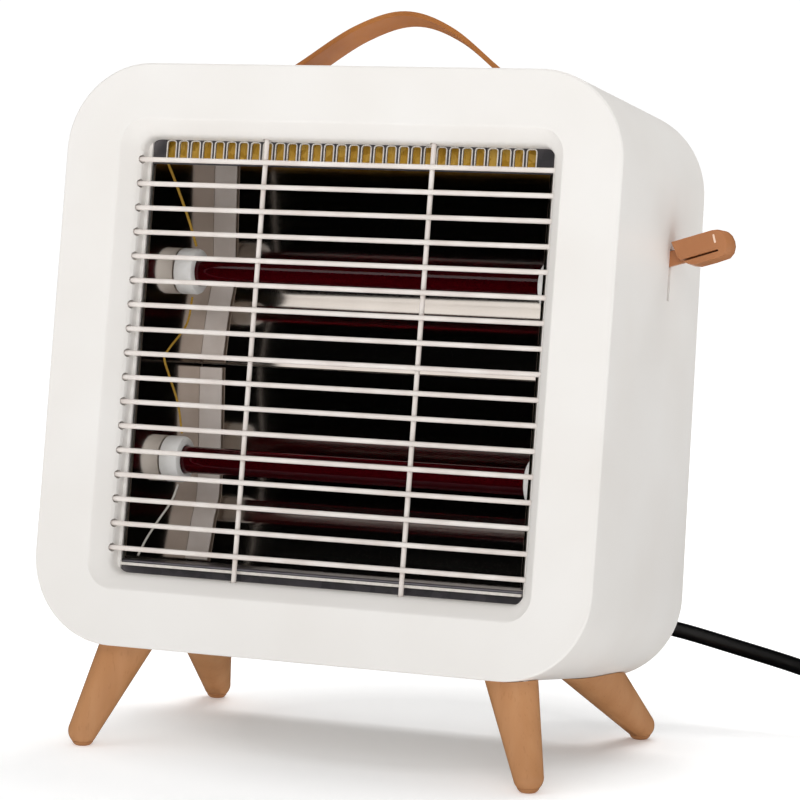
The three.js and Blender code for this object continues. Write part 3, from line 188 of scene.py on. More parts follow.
# %% Cream enamel
CREAM_ENAMEL, tree, surface, where = finish("cream_enamel", IOR=1.5)
drift = add(tree, "ShaderNodeTexNoise", {"Vector": where, "Scale": scale_for(14.0)}).outputs["Fac"]
shine = add(tree, "ShaderNodeTexNoise", {"Vector": where, "Scale": scale_for(3.0)}).outputs["Fac"]
waves = add(tree, "ShaderNodeTexNoise", {"Vector": where, "Scale": scale_for(2.0)}).outputs["Fac"]
dress(tree, surface, drift, [(0.35, "#E3D9D2"), (0.65, "#EFE8E2")], shine, (0.22, 0.4), waves, 0.05, 0.3)
print("finish:", CREAM_ENAMEL.name)

# %% [markdown]
# ## Polished reflector sheet
# Reflectors are bright-rolled aluminium. The rolling leaves very fine lines along the sheet, which
# blur a reflection across them and leave it sharp along them. Real lines are finer than a picture can
# show, so lines 0.3 mm apart are drawn, stretched a hundred times along the width.

# %% Mirror aluminium
MIRROR, tree, surface, where = finish("mirror_aluminium", Metallic=1.0)
along = add(tree, "ShaderNodeMapping", {"Vector": where, "Scale": (0.01, 1.0, 1.0)}).outputs["Vector"]
rolling = {"Vector": along, "Scale": scale_for(0.3), "Detail": 3.0}
lines = add(tree, "ShaderNodeTexNoise", rolling).outputs["Fac"]
bloom = add(tree, "ShaderNodeTexNoise", {"Vector": where, "Scale": scale_for(45.0)}).outputs["Fac"]
dress(tree, surface, bloom, [(0.3, "#D2C8BF"), (0.7, "#DED5CC")], lines, (0.06, 0.14), lines, 0.002, 0.1)
print("finish:", MIRROR.name)

# %% [markdown]
# ## Galvanised strips
# The top and bottom plates are bright galvanised steel. Zinc freezes in flat crystals, the spangle,
# some millimetres across, each with its own grey, so a Voronoi cell pattern gives the tone.

# %% Galvanised steel
GALVANISED, tree, surface, where = finish("galvanised_steel", Metallic=0.8)
spangle = add(tree, "ShaderNodeTexVoronoi", {"Vector": where, "Scale": scale_for(5.0)}).outputs["Color"]
grey = add(tree, "ShaderNodeSeparateColor", {"Color": spangle}).outputs["Red"]
along = add(tree, "ShaderNodeMapping", {"Vector": where, "Scale": (0.05, 1.0, 1.0)}).outputs["Vector"]
rolling = {"Vector": along, "Scale": scale_for(0.5), "Detail": 3.0}
lines = add(tree, "ShaderNodeTexNoise", rolling).outputs["Fac"]
dress(tree, surface, grey, [(0.0, "#767378"), (1.0, "#868387")], grey, (0.28, 0.36), lines, 0.02, 0.3)
print("finish:", GALVANISED.name)

# %% [markdown]
# ## Mica board
# Behind the slots lies a board of pressed mica flakes, golden and slightly glittering. Flakes about
# 3 mm across overlap, so each cell of the pattern has its own gold, its own gloss and a raised edge.

# %% Mica board
MICA, tree, surface, where = finish("mica_board")
flakes = add(tree, "ShaderNodeTexVoronoi", {"Vector": where, "Scale": scale_for(3.0)}).outputs
tone = add(tree, "ShaderNodeSeparateColor", {"Color": flakes["Color"]}).outputs["Green"]
golds = [(0.0, "#C8952C"), (0.5, "#E0AC38"), (1.0, "#EEC158")]
dress(tree, surface, tone, golds, tone, (0.3, 0.6), flakes["Distance"], 0.1, 0.4)
print("finish:", MICA.name)

# %% [markdown]
# ## Ruby quartz
# The tubes are fused quartz with a ruby coating, nearly black until they are lit. Quartz bends light
# less than window glass does, with an index of 1.46, and the drawn tube keeps faint ripples along it.

# %% Ruby quartz
RUBY, tree, surface, where = finish("ruby_quartz", IOR=1.46)
surface.inputs["Transmission Weight"].default_value = 0.85
along = add(tree, "ShaderNodeMapping", {"Vector": where, "Scale": (0.03, 1.0, 1.0)}).outputs["Vector"]
ripples = add(tree, "ShaderNodeTexNoise", {"Vector": along, "Scale": scale_for(8.0)}).outputs["Fac"]
rubies = [(0.3, "#6C0314"), (0.7, "#88091D")]
dress(tree, surface, ripples, rubies, ripples, (0.03, 0.07), ripples, 0.02, 0.1)
print("finish:", RUBY.name)

# %% [markdown]
# ## Speckled finishes
# Many small pieces are plain moulded, pressed, plated or lacquered surfaces. They differ in colour,
# gloss and grain, but all have soft patches of tone over a fine grain, so one recipe makes them all.
# The filament is oxidised iron-chrome wire, dark and dull. The caps are pressed steatite, a white
# ceramic that is matt. The folds beside the reflectors are lacquered sheet. The punched edges are given
# a pale finish that paints on the bright glint of light along them. Screws, clips and pins are zinc
# plated, which is greyer and less of a mirror than chrome.

# %% Wire, ceramic, lacquer and zinc
def speckled(name, tones, patch_mm, gloss, grain_mm, relief_mm, **shader):
    made, tree, surface, where = finish(name, **shader)
    patches = {"Vector": where, "Scale": scale_for(patch_mm), "Detail": 4.0}
    grains = {"Vector": where, "Scale": scale_for(grain_mm), "Detail": 3.0}
    patch = add(tree, "ShaderNodeTexNoise", patches).outputs["Fac"]
    grain = add(tree, "ShaderNodeTexNoise", grains).outputs["Fac"]
    dress(tree, surface, patch, [(0.35, tones[0]), (0.65, tones[1])], patch, gloss, grain, relief_mm, 0.4)
    return made


RESISTANCE = speckled(
    "oxidised_resistance_wire", ("#2E2926", "#5A524C"), 3.0, (0.45, 0.65), 0.5, 0.02, Metallic=1.0,
)
STEATITE = speckled("steatite_ceramic", ("#F5F4F1", "#FCFBF9"), 5.0, (0.5, 0.62), 0.4, 0.03, IOR=1.6)
FOLD_SHEET = speckled("heat_lacquered_sheet", ("#E4D8CF", "#F0E6DF"), 20.0, (0.4, 0.55), 0.5, 0.01, IOR=1.5)
# painted highlight: this pale finish stands in for light glinting on the punched and hemmed edges
EDGE_HIGHLIGHT = speckled("painted_edge_highlight", ("#DCD6CE", "#E9E4DC"), 2.0, (0.35, 0.5), 0.4, 0.01, IOR=1.5)
ZINC = speckled("zinc_plated_steel", ("#B0B3B9", "#CBCED3"), 4.0, (0.3, 0.42), 0.6, 0.01, Metallic=0.55)
print("finishes:", [m.name for m in (RESISTANCE, STEATITE, FOLD_SHEET, EDGE_HIGHLIGHT, ZINC)])

# %% [markdown]
# ## Tan plastic and leather
# The lever is a tan moulding with a fine matt grain, and has a pale tick near its tip. The strap is smooth
# tan leather: its colour drifts over a few centimetres, and small pores about 0.8 mm apart dent it.

# %% Tan plastic and leather
TAN_PLASTIC = speckled("tan_abs", ("#B27448", "#BE8052"), 25.0, (0.38, 0.48), 0.5, 0.02, IOR=1.53)
PALE_TICK = speckled("pale_tick", ("#F3D2B8", "#F8DCC6"), 2.0, (0.4, 0.5), 0.5, 0.01, IOR=1.53)
LEATHER, tree, surface, where = finish("tan_leather", IOR=1.5)
tanning = {"Vector": where, "Scale": scale_for(30.0), "Detail": 3.0}
hide = add(tree, "ShaderNodeTexNoise", tanning).outputs["Fac"]
polish = add(tree, "ShaderNodeTexNoise", {"Vector": where, "Scale": scale_for(5.0)}).outputs["Fac"]
pores = add(tree, "ShaderNodeTexVoronoi", {"Vector": where, "Scale": scale_for(0.8)}).outputs["Distance"]
dress(tree, surface, hide, [(0.3, "#A26026"), (0.7, "#B47030")], polish, (0.4, 0.56), pores, 0.06, 0.35)
print("finishes:", TAN_PLASTIC.name, PALE_TICK.name, LEATHER.name)

# %% [markdown]
# ## Lacquered beech
# The legs are turned beech with a satin lacquer. Beech has a faint grain, here in streaks 9 mm wide and
# twelve times as long, and short dark rays that look like small dashes. Both are noise drawn out along
# the leg, and the rays darken the grain a little, as a multiplied colour does.

# %% Beech
BEECH, tree, surface, where = finish("lacquered_beech", IOR=1.5)
surface.inputs["Coat Weight"].default_value = 0.25
surface.inputs["Coat Roughness"].default_value = 0.2
upwards = add(tree, "ShaderNodeMapping", {"Vector": where, "Scale": (1.0, 1.0, 0.08)}).outputs["Vector"]
streaks = {"Vector": upwards, "Scale": scale_for(9.0), "Detail": 3.0}
growth = add(tree, "ShaderNodeTexNoise", streaks).outputs["Fac"]
dashed = add(tree, "ShaderNodeMapping", {"Vector": where, "Scale": (1.0, 1.0, 0.2)}).outputs["Vector"]
rays = add(tree, "ShaderNodeTexNoise", {"Vector": dashed, "Scale": scale_for(1.2)}).outputs["Fac"]
woods = [(0.3, "#BF8758"), (0.5, "#C58D5E"), (0.7, "#CA9465")]
wood = add(tree, "ShaderNodeValToRGB", {"Fac": growth}, stops=woods).outputs["Color"]
dark_rays = add(tree, "ShaderNodeValToRGB", {"Fac": rays}, stops=[(0.3, "#B98C66"), (0.38, "#FFFFFF")])
add(tree, "ShaderNodeMix", {0: 0.15, 6: wood, 7: dark_rays.outputs["Color"]},
    {2: surface.inputs["Base Color"]}, data_type="RGBA", blend_type="MULTIPLY")
add(tree, "ShaderNodeMapRange", {"Value": growth, "To Min": 0.34, "To Max": 0.46},
    {"Result": surface.inputs["Roughness"]})
add(tree, "ShaderNodeBump", {"Height": rays, "Distance": 0.03 * MM, "Strength": 0.3},
    {"Normal": surface.inputs["Normal"]})
print("finish:", BEECH.name)

# %% [markdown]
# ## Black and sleeved pieces
# The lead is soft black PVC, the plug and the inner switches are harder nylon, and the pads are tan
# rubber. The thin leads inside wear a woven glass sleeve, whose threads cross every 0.6 mm, or plain
# silicone.

# %% Black, rubber and sleeve finishes
BLACK_PVC = speckled("black_pvc", ("#030304", "#050507"), 12.0, (0.45, 0.48), 0.5, 0.02, IOR=1.52)
BLACK_MOULDING = speckled("black_nylon", ("#131315", "#1D1D20"), 9.0, (0.42, 0.55), 0.4, 0.02, IOR=1.53)
PAD_RUBBER = speckled("tan_rubber", ("#AE784A", "#BA8354"), 4.0, (0.7, 0.85), 0.5, 0.05, IOR=1.52)
YELLOW_SLEEVE = speckled("woven_glass_sleeve", ("#A87C1E", "#D4AB43"), 0.6, (0.55, 0.7), 0.6, 0.15, IOR=1.5)
SILICONE = speckled("silicone_sleeve", ("#D6D1C8", "#E6E2DB"), 4.0, (0.4, 0.5), 0.5, 0.02, IOR=1.43)
print("finishes:", [m.name for m in (BLACK_PVC, BLACK_MOULDING, PAD_RUBBER, YELLOW_SLEEVE, SILICONE)])

# %% [markdown]
# ## Mains lead: its route
# A rubbery lead of 8 mm leaves the gland, bends in one easy curve to the right, sags to the floor and
# is put away there as a tied coil. A few chosen points are enough for the free stretch, because a
# smooth line through points bends as evenly as a stiff lead does.

# %% A smooth line through chosen points
def smooth_line(points, per_gap):
    points = [Vector(p) for p in points]
    ends = [2 * points[0] - points[1], *points, 2 * points[-1] - points[-2]]
    line = []
    for a, b, c, d in zip(ends, ends[1:], ends[2:], ends[3:]):
        for step in range(per_gap):
            t = step / per_gap
            line.append(0.5 * (2 * b + (c - a) * t + (2 * a - 5 * b + 4 * c - d) * t * t
                               + (3 * b - a - 3 * c + d) * t ** 3))
    return [*line, points[-1]]


# %% The free stretch of the lead, in millimetres
CORD = 8.0
GLAND_X, GLAND_END, GLAND_Z = 75.0, 171.03, 24.0
exit_start = LEANED @ Vector((GLAND_X, GLAND_END, GLAND_Z))
exit_end = LEANED @ Vector((GLAND_X, GLAND_END + 10.0, GLAND_Z))
route = [
    exit_start / MM, exit_end / MM, (64.2, 116, 50.2), (78.2, 129.5, 49), (97.5, 134.6, 47.3),
    (132.5, 135, 40.2), (164, 135, 33.2), (190, 134.8, 26), (212, 134.4, 18), (232, 134.1, 11),
    (250, 134, 6.9), (261, 134, 6.35), (272, 134, 6.3),
]
print("the lead leaves the gland at", [round(v, 4) for v in exit_start])

# %% [markdown]
# ## Mains lead: its coil
# The put-away length is wound inwards for two and a half turns, climbs by one pitch over half a turn,
# and is wound outwards again on top. A spiral with a formula for radius and height keeps all turns just
# beside and on each other, which points placed by hand would not. The end then rises to the plug.

# %% The coil and the end of the lead
COIL_CENTRE, COIL_OUT, COIL_PITCH, COIL_LOW = Vector((280.0, 78.0, 0.0)), 56.0, 8.75, 6.3
COIL_TURNS, STEPS_A_TURN = 5, 48
PLUG_HEIGHT = 18.6


def coil_point(turns):
    inner = COIL_OUT - 2.5 * COIL_PITCH
    angle = math.pi / 2 - turns * math.tau
    past = (turns - 2.5) * math.tau
    radius, rise = COIL_OUT - turns * COIL_PITCH, 0.0
    if turns > 3.0:
        radius, rise = inner + (turns - 3.0) * COIL_PITCH, 1.0
    elif turns > 2.5:
        radius = inner - COIL_PITCH / math.tau * (past - past * past / math.pi)
        rise = (past / math.pi) ** 2 * (3 - 2 * past / math.pi)
    flat = Vector((math.cos(angle), math.sin(angle), 0.0)) * radius
    return COIL_CENTRE + flat + Vector((0, 0, COIL_LOW + rise * COIL_PITCH))


windings = [coil_point(i / STEPS_A_TURN) for i in range(COIL_TURNS * STEPS_A_TURN + 1)]
tail_start = windings[-1]
tail = []
for i in range(1, 11):
    share = min(i / 8, 1.0)
    rise = share * share * (3 - 2 * share) * (PLUG_HEIGHT - tail_start.z)
    tail.append(tail_start + Vector((i * 5.0, 0.0, rise)))
lead_line = [p * MM for p in [*smooth_line(route, 5), *windings, *tail]]

# %% [markdown]
# ## Mains lead: its body
# A tube could be skinned along the line as a mesh. A curve with a round section is chosen, because it
# keeps its own centre line, from which the length is measured.

# %% The lead as one round curve
def round_curve(name, line, radius, resolution):
    curve = bpy.data.curves.new(name, "CURVE")
    curve.dimensions = "3D"
    curve.bevel_depth = radius * MM
    curve.bevel_resolution = resolution
    curve.use_fill_caps = True
    spline = curve.splines.new("POLY")
    spline.points.add(len(line) - 1)
    for point, place in zip(spline.points, line):
        point.co = (*place, 1.0)
    drawn = bpy.data.objects.new(name, curve)
    bpy.context.scene.collection.objects.link(drawn)
    return drawn


lead = round_curve("mains_lead", lead_line, CORD / 2, 5)
lead.data.materials.append(BLACK_PVC)
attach(lead, "heater")
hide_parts("cord", "cord_coil")
print("lead diameter:", CORD, "mm")

# %% [markdown]
# ## Keeping a piece, and the lathe
# A piece is kept by merging its doubles, turning its normals outwards, placing it, and letting it ride
# on its body. Round pieces are turned from half a profile, as on a lathe: the spin operator carries the
# profile once round the axis and closes it.

# %% Keep a finished piece
def keep(bm, name, material, body="heater", nodes=(), place=LEANED, sharp=35.0, outward=True):
    bmesh.ops.remove_doubles(bm, verts=bm.verts, dist=0.001)
    if outward:
        bmesh.ops.recalc_face_normals(bm, faces=bm.faces)
    bmesh.ops.transform(bm, matrix=place, verts=bm.verts)
    mesh = bpy.data.meshes.new(name)
    bm.to_mesh(mesh)
    bm.free()
    mesh.materials.append(material)
    mesh.shade_smooth()
    mesh.set_sharp_from_angle(angle=math.radians(sharp))
    piece = bpy.data.objects.new(name, mesh)
    bpy.context.scene.collection.objects.link(piece)
    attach(piece, body)
    if nodes:
        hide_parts(*nodes)
    return piece


# %% Turn a profile of (distance along the axis, radius) pairs
def turned(bm, profile, start, along, steps):
    other = bmesh.new()
    verts = [other.verts.new((radius, 0.0, distance)) for distance, radius in profile]
    edges = [other.edges.new(pair) for pair in zip(verts, verts[1:])]
    bmesh.ops.spin(
        other, geom=[*verts, *edges], cent=(0, 0, 0), axis=(0, 0, 1), angle=math.tau, steps=steps,
        use_merge=True, dvec=(0, 0, 0),
    )
    bmesh.ops.remove_doubles(other, verts=other.verts, dist=0.0005)
    turn = Vector(along).to_track_quat("Z", "Y").to_matrix().to_4x4()
    bmesh.ops.transform(other, matrix=Matrix.Translation(start) @ turn, verts=other.verts)
    mesh = bpy.data.meshes.new("turned")
    other.to_mesh(mesh)
    other.free()
    bm.from_mesh(mesh)
    bpy.data.meshes.remove(mesh)


# %% [markdown]
# ## Plug
# A moulded round plug has a ribbed neck, a waist for the fingers and two pins with round tips. All but
# its pins is round, so it is turned from one profile, and so is each pin.

# %% Plug
PLUG_AHEAD, PLUG_LENGTH, PIN_SPREAD = 50.3, 56.0, 9.5
plug_x = tail_start.x + PLUG_AHEAD
neck = [(0.2, 0.0), (0.2, 4.9), (1.0, 5.6)]
for i in range(5):
    base, full = i * 4.2, 5.7 + 0.14 * i
    neck += [(2.5 + base, full), (4.4 + base, full), (4.8 + base, 4.7), (6.2 + base, 4.7)]
shell = [
    (26.0, 6.5), (28.0, 10.0), (31.5, 15.0), (35.0, 17.9), (38.0, 18.4), (42.0, 17.4), (46.0, 17.4),
    (50.0, 18.4), (54.6, 18.5), (55.6, 17.7), (56.0, 16.6), (56.0, 15.2), (54.5, 15.0), (54.5, 0.0),
]
bm = bmesh.new()
turned(bm, neck + shell, (plug_x, tail_start.y, PLUG_HEIGHT), (1, 0, 0), 48)
plug = keep(bm, "plug_shell", BLACK_MOULDING, nodes=["mains_plug"], place=ROOM)
pin = [(-4.0, 0.0), (-4.0, 2.4), (17.6, 2.4), (18.6, 1.9), (19.0, 1.0), (19.0, 0.0)]
bm = bmesh.new()
for side in (-1, 1):
    pin_start = (plug_x + PLUG_LENGTH, tail_start.y, PLUG_HEIGHT + side * PIN_SPREAD)
    turned(bm, pin, pin_start, (1, 0, 0), 20)
pins = keep(bm, "plug_pins", ZINC, place=ROOM)
print("plug from x =", round(plug_x, 1), "mm")

# %% [markdown]
# ## Slabs, sheet and softened edges
# Most other pieces start as a slab: a block whose long edges are rounded. Sheet is drawn as a surface
# and gets its thickness from Solidify. A small bevel with weighted normals takes the knife edge off a
# piece and keeps its flat faces flat, as a real moulded or rolled edge does.

# %% Slab, thickness and edge
def slab(bm, width, height, radius, front, back, centre, segments):
    made = bmesh.ops.create_cube(bm, size=1.0)["verts"]
    bmesh.ops.scale(bm, vec=(width, back - front, height), verts=made)
    bmesh.ops.translate(bm, vec=(centre[0], (front + back) / 2, centre[1]), verts=made)
    edges = {edge for vert in made for edge in vert.link_edges}
    long_edges = [e for e in edges if abs(e.verts[0].co.y - e.verts[1].co.y) > (back - front) / 2]
    bmesh.ops.bevel(
        bm, geom=long_edges, offset=radius, segments=segments, profile=0.5, affect="EDGES", material=-1,
    )


def thicken(piece, millimetres, offset):
    wall = piece.modifiers.new("wall", "SOLIDIFY")
    wall.thickness = millimetres * MM
    wall.offset = offset
    wall.use_even_offset = True


def flatten(piece):
    even = piece.modifiers.new("even", "WEIGHTED_NORMAL")
    even.keep_sharp = True


def soften(piece, millimetres, segments=2):
    edge = piece.modifiers.new("edge", "BEVEL")
    edge.width = millimetres * MM
    edge.segments = segments
    edge.limit_method = "ANGLE"
    edge.angle_limit = math.radians(40)
    flatten(piece)


# %% [markdown]
# ## Tie
# The tie is a soft band round the coil's bundle. A slab without its two big faces is such a band, and
# it clears the turns by a little over a millimetre.

# %% Tie
TIE_ROOM, TIE_WIDTH = 1.2, 12.0
tie_in = COIL_OUT - 2.25 * COIL_PITCH - CORD / 2 - TIE_ROOM
tie_out = COIL_OUT - COIL_PITCH / 4 + CORD / 2 + TIE_ROOM
tie_low, tie_high = COIL_LOW - CORD / 2 - TIE_ROOM, COIL_LOW + COIL_PITCH + CORD / 2 + TIE_ROOM
tie_middle = (COIL_CENTRE.x + (tie_in + tie_out) / 2, (tie_low + tie_high) / 2)
bm = bmesh.new()
slab(bm, tie_out - tie_in, tie_high - tie_low, 4.5, -TIE_WIDTH / 2, TIE_WIDTH / 2, tie_middle, 8)
bmesh.ops.delete(bm, geom=[f for f in bm.faces if len(f.verts) > 4], context="FACES")
bmesh.ops.translate(bm, vec=(0, COIL_CENTRE.y, 0), verts=bm.verts)
tie = keep(bm, "coil_tie", BLACK_MOULDING, nodes=["cord_tie"], place=ROOM, outward=False)
thicken(tie, 0.9, 1.0)
soften(tie, 0.25)
print("tie:", round(tie_out - tie_in, 1), "by", round(tie_high - tie_low, 1), "mm")

# %% [markdown]
# ## Housing
# Front face and side walls are one moulding. Panels could be joined, but a real shell has no seams, so
# one block with its long edges rounded gives the outline. Its slanted rear comes from moving the back
# corners, and a fine bevel rounds the edge of the front.

# %% Helpers for a face and its edge
def face_towards(bm, direction):
    bm.normal_update()
    return max(bm.faces, key=lambda face: face.normal.dot(Vector(direction)) * face.calc_area())


def resize_loop(bm, face, width, height, depth, shift=0.0):
    xs = [v.co.x for v in face.verts]
    zs = [v.co.z for v in face.verts]
    scale = (width / (max(xs) - min(xs)), 1.0, height / (max(zs) - min(zs)))
    middle = Matrix.Translation((-(max(xs) + min(xs)) / 2, 0.0, -MIDDLE))
    bmesh.ops.scale(bm, vec=scale, verts=face.verts, space=middle)
    bmesh.ops.translate(bm, vec=(shift - (max(xs) + min(xs)) / 2, 0, 0), verts=face.verts)
    for vert in face.verts:
        vert.co.y = depth


# %% Housing block
bm = bmesh.new()
slab(bm, BODY_WIDTH, BODY_HEIGHT, CORNER, 0.0, BODY_DEPTH, (0.0, MIDDLE), 22)
for vert in bm.verts:
    if vert.co.y > BODY_DEPTH / 2:
        vert.co.y = back_at(vert.co.z)
bmesh.ops.delete(bm, geom=[face_towards(bm, (0, 1, 0))], context="FACES")
bmesh.ops.bevel(
    bm, geom=list(face_towards(bm, (0, -1, 0)).edges), offset=1.3, segments=4, profile=0.5,
    affect="EDGES", material=-1,
)
print("block faces:", len(bm.faces))

# %% [markdown]
# ## Mouth
# The lip of the mouth is a gentle chamfer that steepens to the opening. Each step insets the front
# face once more and moves the new loop to its own depth, so the rings follow the real section. The
# shell is open behind, and gets its wall from one modifier.

# %% Mouth, and the wall of the shell
MOUTH_WIDTH, MOUTH_HEIGHT, BORDER, WALL = 224.0, 224.5, 26.7, 2.4
LIP = [  # (how far in from the mouth's edge, how deep)
    (0.3, 0.05), (0.7, 0.24), (1.1, 0.56), (1.6, 1.05), (3.2, 2.7), (5.0, 4.6), (6.6, 6.4), (7.5, 7.9),
    (8.1, 10.2), (8.5, 14.5),
]
front = face_towards(bm, (0, -1, 0))
bmesh.ops.inset_region(bm, faces=[front], thickness=BORDER, use_even_offset=True)
resize_loop(bm, front, MOUTH_WIDTH, MOUTH_HEIGHT, 0.0)
for inward, deep in LIP:
    bmesh.ops.inset_region(bm, faces=[front], thickness=0.85, use_even_offset=True)
    resize_loop(bm, front, MOUTH_WIDTH - 2 * inward, MOUTH_HEIGHT - 2 * inward, deep, inward / LIP[-1][0])
bmesh.ops.delete(bm, geom=[front], context="FACES")
housing = keep(bm, "moulded_housing", WHITE_ABS, nodes=["front_housing"], outward=False)
thicken(housing, WALL, -1.0)
print("housing faces:", len(housing.data.polygons))

# %% [markdown]
# ## Holes in the housing
# The wires' ends, the lever and the strap pass through the moulding. Holes could be woven into the
# mesh by hand. Cutting them with simple bars and slabs is surer, and the result is fixed in the mesh
# at once, so that the cutters can go.

# %% Cut one piece with another, and fix the result in the mesh
def settle(piece):
    ready = piece.evaluated_get(bpy.context.evaluated_depsgraph_get())
    mesh = bpy.data.meshes.new_from_object(ready)
    piece.modifiers.clear()
    piece.data = mesh


def carve(piece, cutter_bm, place=LEANED):
    bmesh.ops.recalc_face_normals(cutter_bm, faces=cutter_bm.faces)
    bmesh.ops.transform(cutter_bm, matrix=place, verts=cutter_bm.verts)
    mesh = bpy.data.meshes.new("cutter")
    cutter_bm.to_mesh(mesh)
    cutter_bm.free()
    cutter = bpy.data.objects.new("cutter", mesh)
    bpy.context.scene.collection.objects.link(cutter)
    cut = piece.modifiers.new("cut", "BOOLEAN")
    cut.object = cutter
    cut.solver = "EXACT"
    cut.use_self = True
    settle(piece)
    bpy.data.objects.remove(cutter)
    piece.data.shade_smooth()
    piece.data.set_sharp_from_angle(angle=math.radians(35.0))


# %% Holes for the wires and the slot for the lever
WIRES = [46.2 + 11.6 * i for i in range(17)]
UPRIGHTS = (2.4 - 42.25, 2.4 + 42.25)
WIRE_DEPTH, UPRIGHT_DEPTH = 8.7, 10.7
LEVER_HEIGHT = 193.0


def bar(bm, start, end, radius, sides):
    start, end = Vector(start), Vector(end)
    turn = (end - start).to_track_quat("Z", "Y").to_matrix().to_4x4()
    place = Matrix.Translation((start + end) / 2) @ turn
    bmesh.ops.create_cone(
        bm, cap_ends=True, segments=sides, radius1=radius, radius2=radius,
        depth=(end - start).length, matrix=place,
    )


bm = bmesh.new()
for side in (-1, 1):
    for z in WIRES:
        bar(bm, (side * 96.0, WIRE_DEPTH, z), (side * 110.0, WIRE_DEPTH, z), 2.1, 16)
for x in UPRIGHTS:
    for z in (28.0, 238.0):
        bar(bm, (x, UPRIGHT_DEPTH, z), (x, UPRIGHT_DEPTH, z + 12.0), 2.0, 16)
slab(bm, 16.0, 24.4, 1.85, 79.6, 83.4, (138.0, LEVER_HEIGHT), 4)
carve(housing, bm)
print("holes for", len(WIRES), "wires and", len(UPRIGHTS), "uprights")

# %% [markdown]
# ## Slots for the strap
# The strap's arch is one smooth line, drawn here because the slots have to meet it: each lies where
# the line passes the middle of the top wall, and clears the leather all round.

# %% Strap arch and its two slots
STRAP_FRONT, STRAP_WIDTH, SLOT_ROOM = 66.0, 18.0, 0.6
TOP_WALL = 275.8
STRAP_ARCH = [
    (-76.5, 269.7), (-52.5, 286.4), (-25.0, 305.6), (0.0, 313.4), (25.0, 305.6), (52.0, 285.8), (76.0, 268.7),
]
strap_line = smooth_line([(x, 0.0, z) for x, z in STRAP_ARCH], 10)
crossings = [
    min((p for p in strap_line if p.x * side > 0), key=lambda p: abs(p.z - TOP_WALL)).x for side in (-1, 1)
]
bm = bmesh.new()
for crossing in crossings:
    centre = (crossing, STRAP_FRONT + STRAP_WIDTH / 2)
    slab(bm, 10.5, STRAP_WIDTH + 2 * SLOT_ROOM, 1.2, -280.0, -270.0, centre, 4)
bmesh.ops.rotate(bm, matrix=Matrix.Rotation(math.radians(-90), 3, "X"), verts=bm.verts)
carve(housing, bm)
flatten(housing)
print("strap meets the top at x =", [round(x, 1) for x in crossings])

# %% [markdown]
# ## Ribs of the mouth
# The moulding has a slim upright rib inside each side edge of the mouth, which stiffens it where the
# wires pull. Each is a thin slab with hardly rounded edges.

# %% Ribs that stiffen the mouth's side edges
bm = bmesh.new()
for side in (-1, 1):
    slab(bm, 1.7, 206.5, 0.4, 13.3, 14.6, (side * 102.7 + 1.0, MIDDLE), 2)
ribs = keep(bm, "mouth_ribs", WHITE_ABS)
print("rib faces:", len(ribs.data.polygons))

# %% [markdown]
# ## Wire guard
# Seventeen level wires pass through the lip's side walls and are welded to two uprights just behind
# them. Each wire is a plain round bar, which is what it is, and small weld beads join the crossings.
# The guard stays out of sharp reflections, where it would double every line in the reflectors.

# %% Wire guard
WIRE_RADIUS = 1.2
bm = bmesh.new()
for z in WIRES:
    bar(bm, (-107.0, WIRE_DEPTH, z), (107.6, WIRE_DEPTH, z), WIRE_RADIUS, 14)
for x in UPRIGHTS:
    bar(bm, (x, UPRIGHT_DEPTH, 30.7), (x, UPRIGHT_DEPTH, 246.3), WIRE_RADIUS, 14)
    for z in WIRES:
        bead = Matrix.Translation((x, 9.7, z)) @ Matrix.Diagonal((1.5, 0.9, 1.5, 1.0))
        bmesh.ops.create_icosphere(bm, subdivisions=2, radius=1.0, matrix=bead)
guard = keep(bm, "enamelled_guard", CREAM_ENAMEL, nodes=["wire_guard"], sharp=60.0)
guard.visible_glossy = False
print("guard faces:", len(guard.data.polygons))

# %% [markdown]
# ## Sheet metal box
# The top plate is bent down in front, and the floor plate too. A bent sheet could be a thick block with
# a bend cut into it. A ribbon along the fold line with one bevelled edge and Solidify is closer to how
# the sheet is made, and the bend keeps its even thickness.

# %% Top and floor plates
SHEET, PLATE_EDGE = 0.8, 105.8


def ribbon(bm, line, sweep):
    verts = [bm.verts.new(p) for p in line]
    edges = [bm.edges.new(pair) for pair in zip(verts, verts[1:])]
    made = bmesh.ops.extrude_edge_only(bm, edges=edges)["geom"]
    bmesh.ops.translate(bm, vec=sweep, verts=[g for g in made if isinstance(g, bmesh.types.BMVert)])


def bent_plate(name, line, nodes):
    bm = bmesh.new()
    ribbon(bm, [(-PLATE_EDGE, y, z) for y, z in line], (2 * PLATE_EDGE, 0, 0))
    bends = [e for e in bm.edges if len(e.link_faces) == 2]
    bmesh.ops.bevel(bm, geom=bends, offset=1.0, segments=4, profile=0.5, affect="EDGES", material=-1)
    piece = keep(bm, name, GALVANISED, nodes=nodes)
    thicken(piece, SHEET, 0.0)
    return piece


top_plate = bent_plate("slotted_plate", [(15.2, 230.6), (15.2, 244.6), (96.0, 244.6)], ["slotted_top_plate"])
floor = bent_plate("bottom_plate", [(15.2, 30.1), (15.2, 40.6), (96.0, 40.6)], ["floor_plate"])
print("plates:", top_plate.name, floor.name)

# %% [markdown]
# ## Slots of the top plate
# A row of punched slots lets air in over the tubes. Punching is a cut, so slabs with round corners cut
# them. The punch turns each edge forward, and light glints on it as a bright line round the slot. A slab
# without its big faces, thickened and given a pale finish, is that edge with its highlight painted on,
# and a slim pale bar paints the same bright line along the floor plate's hem.

# %% Slots, their turned edges and the hem, with painted highlights
SLOTS, SLOT_PITCH, SLOT_HEIGHT = 30, 6.3, 237.2


def slot_row(front, back):
    bm = bmesh.new()
    for i in range(SLOTS):
        slab(bm, 4.3, 9.0, 1.1, front, back, ((i - (SLOTS - 1) / 2) * SLOT_PITCH, SLOT_HEIGHT), 4)
    return bm


